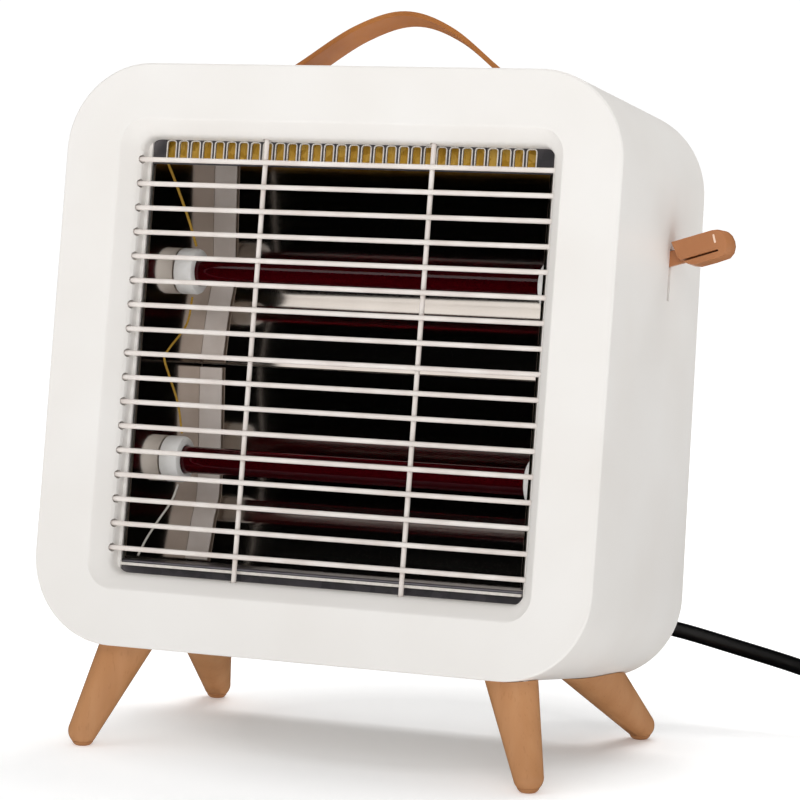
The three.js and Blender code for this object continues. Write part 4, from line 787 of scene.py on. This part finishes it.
carve(top_plate, slot_row(13.0, 18.0))
soften(top_plate, 0.15, 1)
soften(floor, 0.15, 1)
# painted highlight: the turned edges are pale so that they show the glint of light round each slot
bm = slot_row(14.4, 15.9)
bmesh.ops.delete(bm, geom=[f for f in bm.faces if len(f.verts) > 4], context="FACES")
edges = keep(bm, "slot_edge_highlights", EDGE_HIGHLIGHT, outward=False)
thicken(edges, 0.45, 1.0)
# painted highlight: a pale bar paints the bright line of light along the floor plate's hem
bm = bmesh.new()
slab(bm, 203.0, 1.3, 0.5, 13.4, 14.8, (0.5, 38.9), 3)
keep(bm, "floor_hem_highlight", EDGE_HIGHLIGHT)
print("slots:", SLOTS)

# %% [markdown]
# ## Mica board behind the slots
# The gold seen through the slots is a strip of mica board, which keeps the heat from the top. It is a
# flat slab that stands 4 mm behind the plate.

# %% Mica board
bm = bmesh.new()
slab(bm, 199.4, 12.5, 1.0, 19.6, 20.8, (0.0, 237.65), 3)
board = keep(bm, "mica_strip", MICA, nodes=["mica_board"])
soften(board, 0.2)
print("board faces:", len(board.data.polygons))

# %% [markdown]
# ## Reflectors
# Two troughs meet in a ridge behind the gap between the tubes. A true parabola could be drawn, but a
# pressed sheet has its own swell, so the profile is a smooth line through points, swept along the
# width. The upper trough's belly sits higher, and the lower one is deeper, with a steeper lower edge.
# The wall is settled in the mesh before the normals are taken, because a live wall would bend them at
# the rim, and a mirror shows that at once.

# %% Trough profiles
RIDGE, RIDGE_DEPTH, SWELL = 140.0, 83.0, 9.0
SHAPE = [  # (share of the height, share of the swell)
    (0.0, 0.0), (0.015, 0.06), (0.03, 0.11), (0.05, 0.15), (0.14, 0.32), (0.21, 0.46), (0.24, 0.53),
    (0.27, 0.625), (0.3, 0.72), (0.33, 0.79), (0.36, 0.82), (0.42, 0.8), (0.6, 0.57), (0.8, 0.27), (1.0, 0.0),
]


def trough(low, high, setback):
    upper = low > RIDGE
    points = []
    for share, depth in SHAPE:
        if not upper:
            depth += 0.1 * min(1.0, max(0.0, (share - 0.24) / 0.12))
            depth = 0.04 + 2.2 * share if share < 0.05 else depth
        if 0.1 < share < 0.5:
            share += 0.05 if upper else -0.02
        points.append((0.0, RIDGE_DEPTH + depth * SWELL - setback, low + share * (high - low)))
    return smooth_line(points, 4)


for name, low, high in (("lower", 41.4, 139.8), ("upper", 140.2, 243.8)):
    bm = bmesh.new()
    ribbon(bm, [p + Vector((-99.7, 0.4, 0)) for p in trough(low, high, 0.0)], (199.4, 0, 0))
    piece = keep(bm, f"{name}_trough", MIRROR, nodes=[f"{name}_reflector"])
    thicken(piece, SHEET, 0.0)
    settle(piece)
    piece.data.set_sharp_from_angle(angle=math.radians(35))
    print(name, "reflector faces:", len(piece.data.polygons))

# %% [markdown]
# ## Cheeks and their folds
# Polished cheeks close the ends of the box. Each has a pale lacquered fold that follows the troughs
# and holds them. The cheek is a slab on its edge, and the fold is a ribbon along the same profile, set
# forward by its own thickness.

# %% Cheeks and folds
for hand, side in (("left", -1), ("right", 1)):
    bm = bmesh.new()
    slab(bm, 79.0, 202.4, 1.5, 0.0, 1.0, (56.5, 142.6), 3)
    turn = Matrix.Translation((side * 100.5, 0, 0)) @ Matrix.Rotation(math.radians(90), 4, "Z")
    bmesh.ops.transform(bm, matrix=Matrix.Translation((0, -0.5, 0)), verts=bm.verts)
    bmesh.ops.transform(bm, matrix=turn, verts=bm.verts)
    cheek = keep(bm, f"{hand}_cheek", MIRROR, nodes=[f"{hand}_end_cheek"])
    soften(cheek, 0.15, 1)
    bm = bmesh.new()
    for low, high in ((42.5, 138.0), (142.0, 243.0)):
        line = [p + Vector((side * 99.9, -0.4, 0)) for p in trough(low, high, 1.1)]
        ribbon(bm, line, (-side * 11.9, 0, 0))
    fold = keep(bm, f"{hand}_fold", FOLD_SHEET)
    thicken(fold, SHEET, 0.0)
    soften(fold, 0.2, 2)
    print(hand, "fold faces:", len(fold.data.polygons))

# %% [markdown]
# ## Quartz tubes and filaments
# Each tube is a round glass pipe held by two steatite caps. Inside runs a close coil of resistance
# wire. A helix could be computed point by point. Spinning a small ring round the axis while it moves
# along it is how a coil winder works, and one operator does it.

# %% Tubes and filaments
TUBES, TUBE_DEPTH = {"upper": 183.0, "lower": 91.0}, 54.0
PIPE = [
    (-95.8, 5.4), (-95.8, 6.3), (-95.6, 6.5), (95.6, 6.5), (95.8, 6.3), (95.8, 5.4), (95.6, 5.3),
    (-95.6, 5.3), (-95.8, 5.4),
]
WOUND_LENGTH, WOUND_RADIUS, THREAD = 176.0, 2.0, 0.45
WOUND_TURNS, WOUND_STEPS = 110, 12 * 110
on_edge = Matrix.Rotation(math.pi / 2, 4, "X")
lying = Matrix.Rotation(math.pi / 2, 4, "Y")
for level, z in TUBES.items():
    bm = bmesh.new()
    turned(bm, PIPE, (0, TUBE_DEPTH, z), (1, 0, 0), 40)
    keep(bm, f"{level}_ruby_tube", RUBY, nodes=[f"{level}_quartz_tube"])
    bm = bmesh.new()
    place = Matrix.Translation((WOUND_RADIUS, 0, -WOUND_LENGTH / 2)) @ on_edge
    ring = bmesh.ops.create_circle(bm, segments=6, radius=THREAD, matrix=place)["verts"]
    edges = list({e for v in ring for e in v.link_edges})
    bmesh.ops.spin(
        bm, geom=[*ring, *edges], cent=(0, 0, 0), axis=(0, 0, 1), angle=math.tau * WOUND_TURNS,
        steps=WOUND_STEPS, dvec=(0, 0, WOUND_LENGTH / WOUND_STEPS), use_merge=False,
    )
    bmesh.ops.transform(bm, matrix=Matrix.Translation((0, TUBE_DEPTH, z)) @ lying, verts=bm.verts)
    bmesh.ops.holes_fill(bm, edges=bm.edges, sides=6)
    name = f"{level}_coiled_filament"
    filament = keep(bm, name, RESISTANCE, nodes=[f"{level}_filament"], sharp=80.0)
    print(level, "filament faces:", len(filament.data.polygons))

# %% [markdown]
# ## Ceramic caps
# A pressed cap grips each end of a tube, with a collar that takes the clip. It is round, so it is
# turned. The right caps reach 2 mm further in than the left ones.

# %% Caps
CAP = [
    (96.4, 0.0), (96.4, 6.9), (90.4, 6.9), (90.0, 7.3), (90.0, 9.6), (90.5, 10.7), (91.6, 11.25),
    (98.9, 11.25), (99.6, 10.9), (99.7, 10.2), (99.7, 7.2), (100.5, 6.9), (106.4, 6.9), (107.0, 6.4),
    (107.0, 0.0),
]
for level, z in TUBES.items():
    for hand, side, reach in (("left", -1, 0.0), ("right", 1, 2.0)):
        bm = bmesh.new()
        profile = [(x - reach if x < 92.0 else x, radius) for x, radius in CAP]
        turned(bm, profile, (0, TUBE_DEPTH, z), (side, 0, 0), 48)
        cap = keep(bm, f"{level}_{hand}_steatite", STEATITE, nodes=[f"{level}_{hand}_cap"])
        print(cap.name, "faces:", len(cap.data.polygons))

# %% [markdown]
# ## Leads inside
# Thin leads join the tubes at the left end: woven yellow sleeves above and a pale silicone one below.
# They are short round curves through a few chosen points, made into meshes, so that each is one solid
# piece like its neighbours. Like the guard they stay out of sharp reflections.

# %% Leads
def inner_lead(name, points, radius, material, nodes):
    drawn = round_curve("drawn_lead", [LEANED @ p for p in smooth_line(points, 8)], radius, 3)
    ready = drawn.evaluated_get(bpy.context.evaluated_depsgraph_get())
    bm = bmesh.new()
    bm.from_mesh(bpy.data.meshes.new_from_object(ready))
    bpy.data.objects.remove(drawn)
    bmesh.ops.transform(bm, matrix=LEANED.inverted(), verts=bm.verts)
    piece = keep(bm, name, material, nodes=nodes, sharp=60.0)
    piece.visible_glossy = False
    print(name, "faces:", len(piece.data.polygons))


upper = [(-93.5, 54, 195.5), (-95, 46, 208), (-97, 33, 224), (-98, 24, 234), (-98, 23, 242)]
middle = [
    (-93.5, 54, 170.5), (-96, 55, 157), (-97.5, 41, 144), (-97.8, 37, 139), (-97, 42, 131),
    (-95.5, 51, 118), (-93.5, 54, 103.5),
]
lower = [(-93.5, 54, 78.5), (-95, 51, 70), (-97, 42, 60), (-98, 33, 51), (-98.2, 26, 43)]
inner_lead("upper_sleeve", upper, 0.65, YELLOW_SLEEVE, ["top_lead"])
inner_lead("middle_sleeve", middle, 0.55, YELLOW_SLEEVE, ["link_lead"])
inner_lead("lower_sleeve", lower, 0.55, SILICONE, ["floor_lead"])

# %% [markdown]
# ## Selector lever: paddle
# Outside the right wall the lever is a tan paddle, with a groove near its lower edge. Its outline is
# drawn, given depth and rounded at the tip. The lever is drawn about its own pivot, level, and is
# turned up to the place where the photograph shows it.

# %% Paddle
LEVER_PIVOT, LEVER_RISE = (115.0, 81.5, LEVER_HEIGHT), math.radians(17.0)
LEVER_SEAT = LEANED @ Matrix.Translation(LEVER_PIVOT) @ Matrix.Rotation(-LEVER_RISE, 4, "Y")
PADDLE = [
    (29.8, 6.6), (50.0, 7.0), (53.4, 6.6), (55.9, 5.4), (57.4, 3.2), (58.0, 0.4), (57.8, -2.2),
    (56.4, -4.6), (53.6, -6.1), (46.0, -6.5), (38.6, -6.5), (35.4, -5.4), (33.2, -3.6), (31.2, -1.2),
]
TIP_START, TIP_ROUND = 51.0, 8.6
bm = bmesh.new()
face = bm.faces.new([bm.verts.new((x, -6.5, z)) for x, z in PADDLE])
made = bmesh.ops.extrude_face_region(bm, geom=[face])["geom"]
bmesh.ops.translate(bm, vec=(0, 13.0, 0), verts=[g for g in made if isinstance(g, bmesh.types.BMVert)])
for y in (-4.5, -2.0, 2.0, 4.5):
    whole = [*bm.verts, *bm.edges, *bm.faces]
    bmesh.ops.bisect_plane(bm, geom=whole, plane_co=(0, y, 0), plane_no=(0, 1, 0))
for vert in bm.verts:
    if vert.co.x > TIP_START:
        vert.co.x = TIP_START + (vert.co.x - TIP_START) * math.sqrt(1.0 - (vert.co.y / TIP_ROUND) ** 2)
paddle = keep(bm, "lever_paddle", TAN_PLASTIC, "lever", ["selector_lever"], LEVER_SEAT)
groove = (39.9, -3.1)
bm = bmesh.new()
slab(bm, 22.0, 0.9, 0.35, -8.0, 8.0, groove, 3)
tilt = Matrix.Rotation(math.radians(-1.2), 3, "Y")
bmesh.ops.rotate(bm, cent=(groove[0], 0, groove[1]), matrix=tilt, verts=bm.verts)
carve(paddle, bm, LEVER_SEAT)
soften(paddle, 0.8, 3)
print("paddle faces:", len(paddle.data.polygons))

# %% [markdown]
# ## Selector lever: stem and mark
# A flat stem joins the paddle to a hub on its pin. A thin arc at the stem moves behind the slot and
# shuts it to fingers. The stem is a slab, the hub is turned, and the arc is a small section spun
# through 72 degrees about the pivot. The pale tick is a thin slip on the front of the tip, where its
# rounding starts.

# %% Stem, hub, shutter arc and mark
SHUTTER_ANGLE = math.radians(72)
bm = bmesh.new()
slab(bm, 34.0, 7.0, 0.8, -1.45, 1.45, (22.0, 0.0), 3)
turned(bm, [(-4.0, 1.6), (-4.0, 5.0), (4.0, 5.0), (4.0, 1.6), (-4.0, 1.6)], (0, 0, 0), (0, 1, 0), 32)
section = [bm.verts.new((x, y, 0.0)) for x, y in ((20.0, -3.4), (21.0, -3.4), (21.0, 3.4), (20.0, 3.4))]
half_turn = Matrix.Rotation(SHUTTER_ANGLE / 2, 3, "Y")
bmesh.ops.rotate(bm, cent=(0, 0, 0), matrix=half_turn, verts=section)
start = bm.faces.new(section)
bmesh.ops.spin(
    bm, geom=[start], cent=(0, 0, 0), axis=(0, 1, 0), angle=-SHUTTER_ANGLE, steps=20, dvec=(0, 0, 0),
    use_merge=False,
)
stem = keep(bm, "lever_stem", TAN_PLASTIC, "lever", place=LEVER_SEAT)
soften(stem, 0.3, 2)
bm = bmesh.new()
slab(bm, 0.9, 4.2, 0.4, -6.6, -6.2, (50.4, 2.8), 3)
mark = keep(bm, "lever_mark", PALE_TICK, "lever", place=LEVER_SEAT)
print("stem faces:", len(stem.data.polygons), "mark faces:", len(mark.data.polygons))

# %% [markdown]
# ## Legs
# Four turned legs stick out sideways and, at the back, well to the rear. Each is a lathe shape on its
# own slanting axis: a round foot and a taper that swells towards the top. A block as large as the
# housing cuts its head, so that it meets the round corner, and another cuts its foot flat.

# %% Where the legs start and end
HEADS = {"front": (98.3, 20.0), "back": (105.0, 127.0)}
FEET = {"front": (112.6, 11.7), "back": (115.7, 165.3)}
DROPS = {"front": 48.6, "back": (STAND[2] - FEET["back"][1] * math.sin(LEAN)) / math.cos(LEAN)}
FOOT_RADIUS, SWELL_TO_TOP, SPARE = 7.0, 5.0, 24.0
FOOT_CUT = -0.0477  # metres: the middle of a 0.1 m cube whose top is 2.3 mm up


def leg_line(row, side):
    head = ROOM.inverted() @ (LEANED @ Vector((side * HEADS[row][0], HEADS[row][1], 0.0)))
    foot = ROOM.inverted() @ (LEANED @ Vector((side * FEET[row][0], FEET[row][1], -DROPS[row])))
    return head, foot


def leg_profile(length):
    angles = [math.radians(a) for a in range(0, 91, 6)]
    profile = [(FOOT_RADIUS * -math.cos(a), FOOT_RADIUS * math.sin(a)) for a in angles]
    profile += [(length * s, FOOT_RADIUS + SWELL_TO_TOP * s) for s in (0.25, 0.5, 0.75)]
    end = FOOT_RADIUS + SWELL_TO_TOP + SPARE * SWELL_TO_TOP / length
    return [*profile, (length + SPARE, end), (length + SPARE, 0.0)]


print("drops:", {row: round(drop, 1) for row, drop in DROPS.items()})

# %% Legs and their pads
PAD = [(0.0, 0.0), (0.0, 2.8), (0.2, 3.5), (0.7, 4.2), (1.4, 4.8), (2.2, 5.15), (2.2, 0.0)]
for row in ("front", "back"):
    for hand, side in (("left", -1), ("right", 1)):
        head, foot = leg_line(row, side)
        centre = Vector((foot.x, foot.y, FOOT_RADIUS))
        bm = bmesh.new()
        turned(bm, leg_profile((head - centre).length), centre, (head - centre).normalized(), 48)
        leg = keep(bm, f"{row}_{hand}_turned_leg", BEECH, nodes=[f"{row}_{hand}_leg"], place=ROOM)
        bm = bmesh.new()
        slab(bm, BODY_WIDTH + 0.6, BODY_HEIGHT + 0.6, CORNER + 0.3, -0.3, 170.0, (0.0, MIDDLE), 24)
        bmesh.ops.transform(bm, matrix=LEANED, verts=bm.verts)
        under = Matrix.Translation((foot.x * MM, foot.y * MM, FOOT_CUT)) @ Matrix.Scale(0.1, 4)
        bmesh.ops.create_cube(bm, size=1.0, matrix=under)
        carve(leg, bm, Matrix.Identity(4))
        flatten(leg)
        bm = bmesh.new()
        turned(bm, PAD, (foot.x, foot.y, 0.0), (0, 0, 1), 28)
        keep(bm, f"{row}_{hand}_pad", PAD_RUBBER, nodes=[f"{row}_{hand}_foot_pad"], place=ROOM)
        print(leg.name, "is", round((head - centre).length, 1), "mm long")

# %% [markdown]
# ## Carrying strap
# A band of tan leather springs up in an arch through two slots. Use has bent the arch back a little,
# so it turns about the line where it meets the housing. Cloth simulation would be wasted on so stiff a
# band: it is a ribbon along the arch with a thickness and softly rounded edges.

# %% Strap
bm = bmesh.new()
ribbon(bm, [Vector((p.x, STRAP_FRONT, p.z)) for p in strap_line], (0, STRAP_WIDTH, 0))
bent = [v for v in bm.verts if v.co.z > BODY_HEIGHT]
hinge = (0, STRAP_FRONT + STRAP_WIDTH / 2, BODY_HEIGHT)
bmesh.ops.rotate(bm, cent=hinge, matrix=Matrix.Rotation(math.radians(-8.0), 3, "X"), verts=bent)
strap = keep(bm, "carrying_strap", LEATHER, nodes=["handle_strap"])
thicken(strap, 2.5, 0.0)
soften(strap, 0.7, 3)
print("arch:", round(sum((b - a).length for a, b in zip(strap_line, strap_line[1:])), 1), "mm long")

# %% [markdown]
# ## Back cover
# The cover is a flat moulding set into the rear, with two banks of round-ended vents and four screws.
# It is a slab with slots cut through it, sheared to the rear's slant. A shear keeps the vents level,
# which a turn would not.

# %% Back cover
SHEAR = Matrix(((1, 0, 0, 0), (0, 1, -BACK_SLOPE, 0), (0, 0, 1, 0), (0, 0, 0, 1)))
SCREWS = [(x, z) for x in (-117.0, 117.0) for z in (24.0, 253.0)]
COVER_INSIDE, COVER_FACE = 138.0, 140.5
CUT_FROM, CUT_TO = COVER_INSIDE - 2.0, COVER_FACE + 1.5
bm = bmesh.new()
slab(bm, 274.4, 271.4, 39.2, COVER_INSIDE, COVER_FACE, (0.0, MIDDLE), 22)
cover = keep(bm, "vented_cover", WHITE_ABS, nodes=["back_cover"], place=LEANED @ SHEAR)
bm = bmesh.new()
for base in (56.0, 176.0):
    for row in range(7):
        for column in (-60.0, 0.0, 60.0):
            slab(bm, 52.0, 4.5, 2.2, CUT_FROM, CUT_TO, (column, base + row * 11.0 + 2.25), 5)
bar(bm, (GLAND_X, CUT_FROM, GLAND_Z), (GLAND_X, CUT_TO, GLAND_Z), 5.8, 32)
for x, z in SCREWS:
    bar(bm, (x, CUT_FROM, z), (x, CUT_TO, z), 2.1, 20)
carve(cover, bm, LEANED @ SHEAR)
soften(cover, 0.5, 2)
print("cover faces:", len(cover.data.polygons))

# %% [markdown]
# ## Screws
# Four plated screws hold the cover. Shank and head are turned in one, and two small slabs cut the
# cross recess. A round head on a slanting face stands on the highest point under its rim.

# %% Screws with a cross recess
SCREW = [
    (-14.0, 0.0), (-13.4, 1.2), (-12.6, 1.7), (0.3, 1.7), (0.3, 3.5), (0.9, 3.5), (1.7, 2.9), (2.3, 1.7),
    (2.5, 0.0),
]


def seat_at(height, rim):
    return COVER_FACE - BACK_SLOPE * height + BACK_SLOPE * rim


for i, (x, z) in enumerate(SCREWS):
    y = seat_at(z, 3.5)
    bm = bmesh.new()
    turned(bm, SCREW, (x, y, z), (0, 1, 0), 32)
    screw = keep(bm, f"cover_screw_head_{i + 1}", ZINC, nodes=[f"cover_screw_{i + 1}"])
    bm = bmesh.new()
    slab(bm, 3.2, 0.8, 0.15, y + 1.2, y + 4.0, (x, z), 2)
    slab(bm, 0.8, 3.2, 0.15, y + 1.2, y + 4.0, (x, z), 2)
    carve(screw, bm)
    print(screw.name, "faces:", len(screw.data.polygons))

# %% [markdown]
# ## Strain relief
# Where the lead leaves the cover, a tapered rubbery sleeve keeps it from kinking. Its rings and
# grooves are round, so they are one turned profile, open along the middle for the lead.

# %% Gland
gland_y = seat_at(GLAND_Z, 8.5)
sleeve = [(-6.0, 4.3), (-6.0, 5.4), (0.3, 5.4), (0.3, 8.3), (0.9, 8.5), (2.6, 8.5), (3.3, 7.9), (3.3, 5.9)]
for i in range(6):
    base = 4.2 * i
    sleeve += [(4.5 + base, 5.75 - 0.1 * i), (7.0 + base, 5.7 - 0.1 * i)]
    sleeve += [(7.2 + base, 4.9), (8.3 + base, 4.9)]
sleeve += [(29.6, 4.95), (30.0, 4.7), (30.0, 4.15), (-5.9, 4.15), (-6.0, 4.3)]
bm = bmesh.new()
turned(bm, sleeve, (GLAND_X, gland_y, GLAND_Z), (0, 1, 0), 32)
gland = keep(bm, "strain_relief", BLACK_MOULDING, nodes=["cord_gland"])
print("gland from y =", round(gland_y, 2), "faces:", len(gland.data.polygons))

# %% [markdown]
# ## Small inner pieces
# The switches, the bracket, the pendulum and the bolts are seen only through vents, so their CAD
# shapes stay and only their finishes are given.

# %% Finishes of the kept CAD nodes
KEPT = {
    ZINC: [
        "lever_pin", "lever_bracket", "tilt_switch_pin", "tilt_switch_pendulum", "left_strap_pin",
        "right_strap_pin", "upper_left_clip", "upper_right_clip", "lower_left_clip", "lower_right_clip",
        "front_left_leg_bolt", "front_right_leg_bolt", "back_left_leg_bolt", "back_right_leg_bolt",
    ],
    BLACK_MOULDING: ["selector_switch", "tilt_switch_case", "tilt_microswitch", "thermal_cutout"],
    STEATITE: ["terminal_block"],
}
for material, names in KEPT.items():
    for name in names:
        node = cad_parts[name]
        node.data.materials.clear()
        node.data.materials.append(material)
print("kept nodes:", sum(len(names) for names in KEPT.values()))

# %% [markdown]
# ## Floor
# The heater stands on a white paper sweep. A curved sheet could rise behind it, but then it would show
# in other views. This floor is flat: near the heater it only reflects, so that soft shadows show under
# the legs, and further off it glows more and more, like a lit cove, and meets the white sky without a
# line. It stays out of the reflectors.

# %% Floor
FLOOR_RADIUS, GLOW_CENTRE, GLOW_REACH = 30.0, (0.0, 0.04, 0.0), 1.3
bm = bmesh.new()
bmesh.ops.create_circle(bm, cap_ends=True, segments=64, radius=FLOOR_RADIUS)
mesh = bpy.data.meshes.new("studio_floor")
bm.to_mesh(mesh)
bm.free()
PAPER, tree, surface, where = finish("white_paper", Roughness=0.8)
fibres = add(tree, "ShaderNodeTexNoise", {"Vector": where, "Scale": scale_for(300.0)}).outputs["Fac"]
add(tree, "ShaderNodeValToRGB", {"Fac": fibres}, {"Color": surface.inputs["Base Color"]},
    [(0.3, "#E9E9E9"), (0.7, "#EBEBEB")])
surface.inputs["Emission Color"].default_value = (1.0, 1.0, 1.0, 1.0)
away = add(tree, "ShaderNodeVectorMath", {0: where, 1: GLOW_CENTRE}, operation="DISTANCE").outputs["Value"]
share = add(tree, "ShaderNodeMapRange", {"Value": away, "From Max": GLOW_REACH}).outputs["Result"]
add(tree, "ShaderNodeValToRGB", {"Fac": share}, {"Color": surface.inputs["Emission Strength"]},
    [(0.07, 0.08), (0.14, 0.4), (1.0, 0.75)])
mesh.materials.append(PAPER)
studio_floor = bpy.data.objects.new("studio_floor", mesh)
bpy.context.scene.collection.objects.link(studio_floor)
studio_floor.visible_glossy = False
studio_floor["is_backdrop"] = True
print("floor radius:", FLOOR_RADIUS, "m, glow away from", GLOW_CENTRE)

# %% [markdown]
# ## Sky
# The world has three tasks. To the camera it is plain white, as the background of the photograph is.
# As a light it is softer, and weaker from above. To a mirror it is dark, as a studio with dark sides
# is, so that the reflectors show only the lamps and the heater. The light path tells the three apart.

# %% World: white where it is seen, a softer fill where it lights, dark in mirrors
SEEN, LEVEL_FILL, TOP_FILL = 1.05, 0.6, 0.42
world = bpy.data.worlds.new("studio")
world.use_nodes = True
tree = world.node_tree
sky = next(n for n in tree.nodes if n.type == "BACKGROUND")
sky.inputs["Color"].default_value = (1.0, 1.0, 1.0, 1.0)
towards = add(tree, "ShaderNodeTexCoord").outputs["Generated"]
upward = add(tree, "ShaderNodeSeparateXYZ", {"Vector": towards}).outputs["Z"]
fade = add(tree, "ShaderNodeMapRange", {
    "Value": upward, "From Min": 0.1, "From Max": 0.6, "To Min": LEVEL_FILL, "To Max": TOP_FILL,
}).outputs["Result"]
path = add(tree, "ShaderNodeLightPath").outputs
mirrored = add(tree, "ShaderNodeMath", {0: path["Is Glossy Ray"], 1: path["Diffuse Depth"]},
               operation="SUBTRACT", use_clamp=True).outputs["Value"]
lit = add(tree, "ShaderNodeMix", {"Factor": mirrored, "A": fade, "B": 0.0}).outputs["Result"]
add(tree, "ShaderNodeMix", {"Factor": path["Is Camera Ray"], "A": lit, "B": SEEN},
    {"Result": sky.inputs["Strength"]})
bpy.context.scene.world = world
print("world: seen", SEEN, "level fill", LEVEL_FILL, "fill from above", TOP_FILL)

# %% [markdown]
# ## Lamps
# The key is a square softbox high at the right of the camera. A large card high at the left is the only
# lamp that mirrors show, and makes the bands of light in the reflectors. A third lamp, behind and
# above, brightens the top and the back. Large lamps are chosen throughout, for soft shadows.

# %% Lamps
def lamp(name, place, aim, size, power, shine):
    data = bpy.data.lights.new(name, "AREA")
    data.shape = "RECTANGLE"
    data.size, data.size_y = size
    data.energy = power
    turn = (Vector(aim) - Vector(place)).to_track_quat("-Z", "Y").to_matrix().to_4x4()
    made = bpy.data.objects.new(name, data)
    made.matrix_world = Matrix.Translation(place) @ turn
    made.visible_glossy = shine
    bpy.context.scene.collection.objects.link(made)


lamp("key_box", (0.8, -1.9, 1.35), (0, 0, 0.17), (0.9, 0.9), 10.4, False)
lamp("high_card", (-0.8, -1.15, 2.0), (0, 0, 0.17), (1.4, 1.4), 7.0, True)
lamp("rear_box", (0.1, 0.9, 1.7), (0, -0.1, 0.0), (1.4, 1.0), 19.0, False)

# %% [markdown]
# ## Colour of the picture
# The white housing should come out as white paper does in a catalogue, so the plain view transform is
# used, which neither greys the whites nor bends the tans.

# %% View transform, sizes and the end
bpy.context.scene.view_settings.view_transform = "Standard"
low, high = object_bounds()
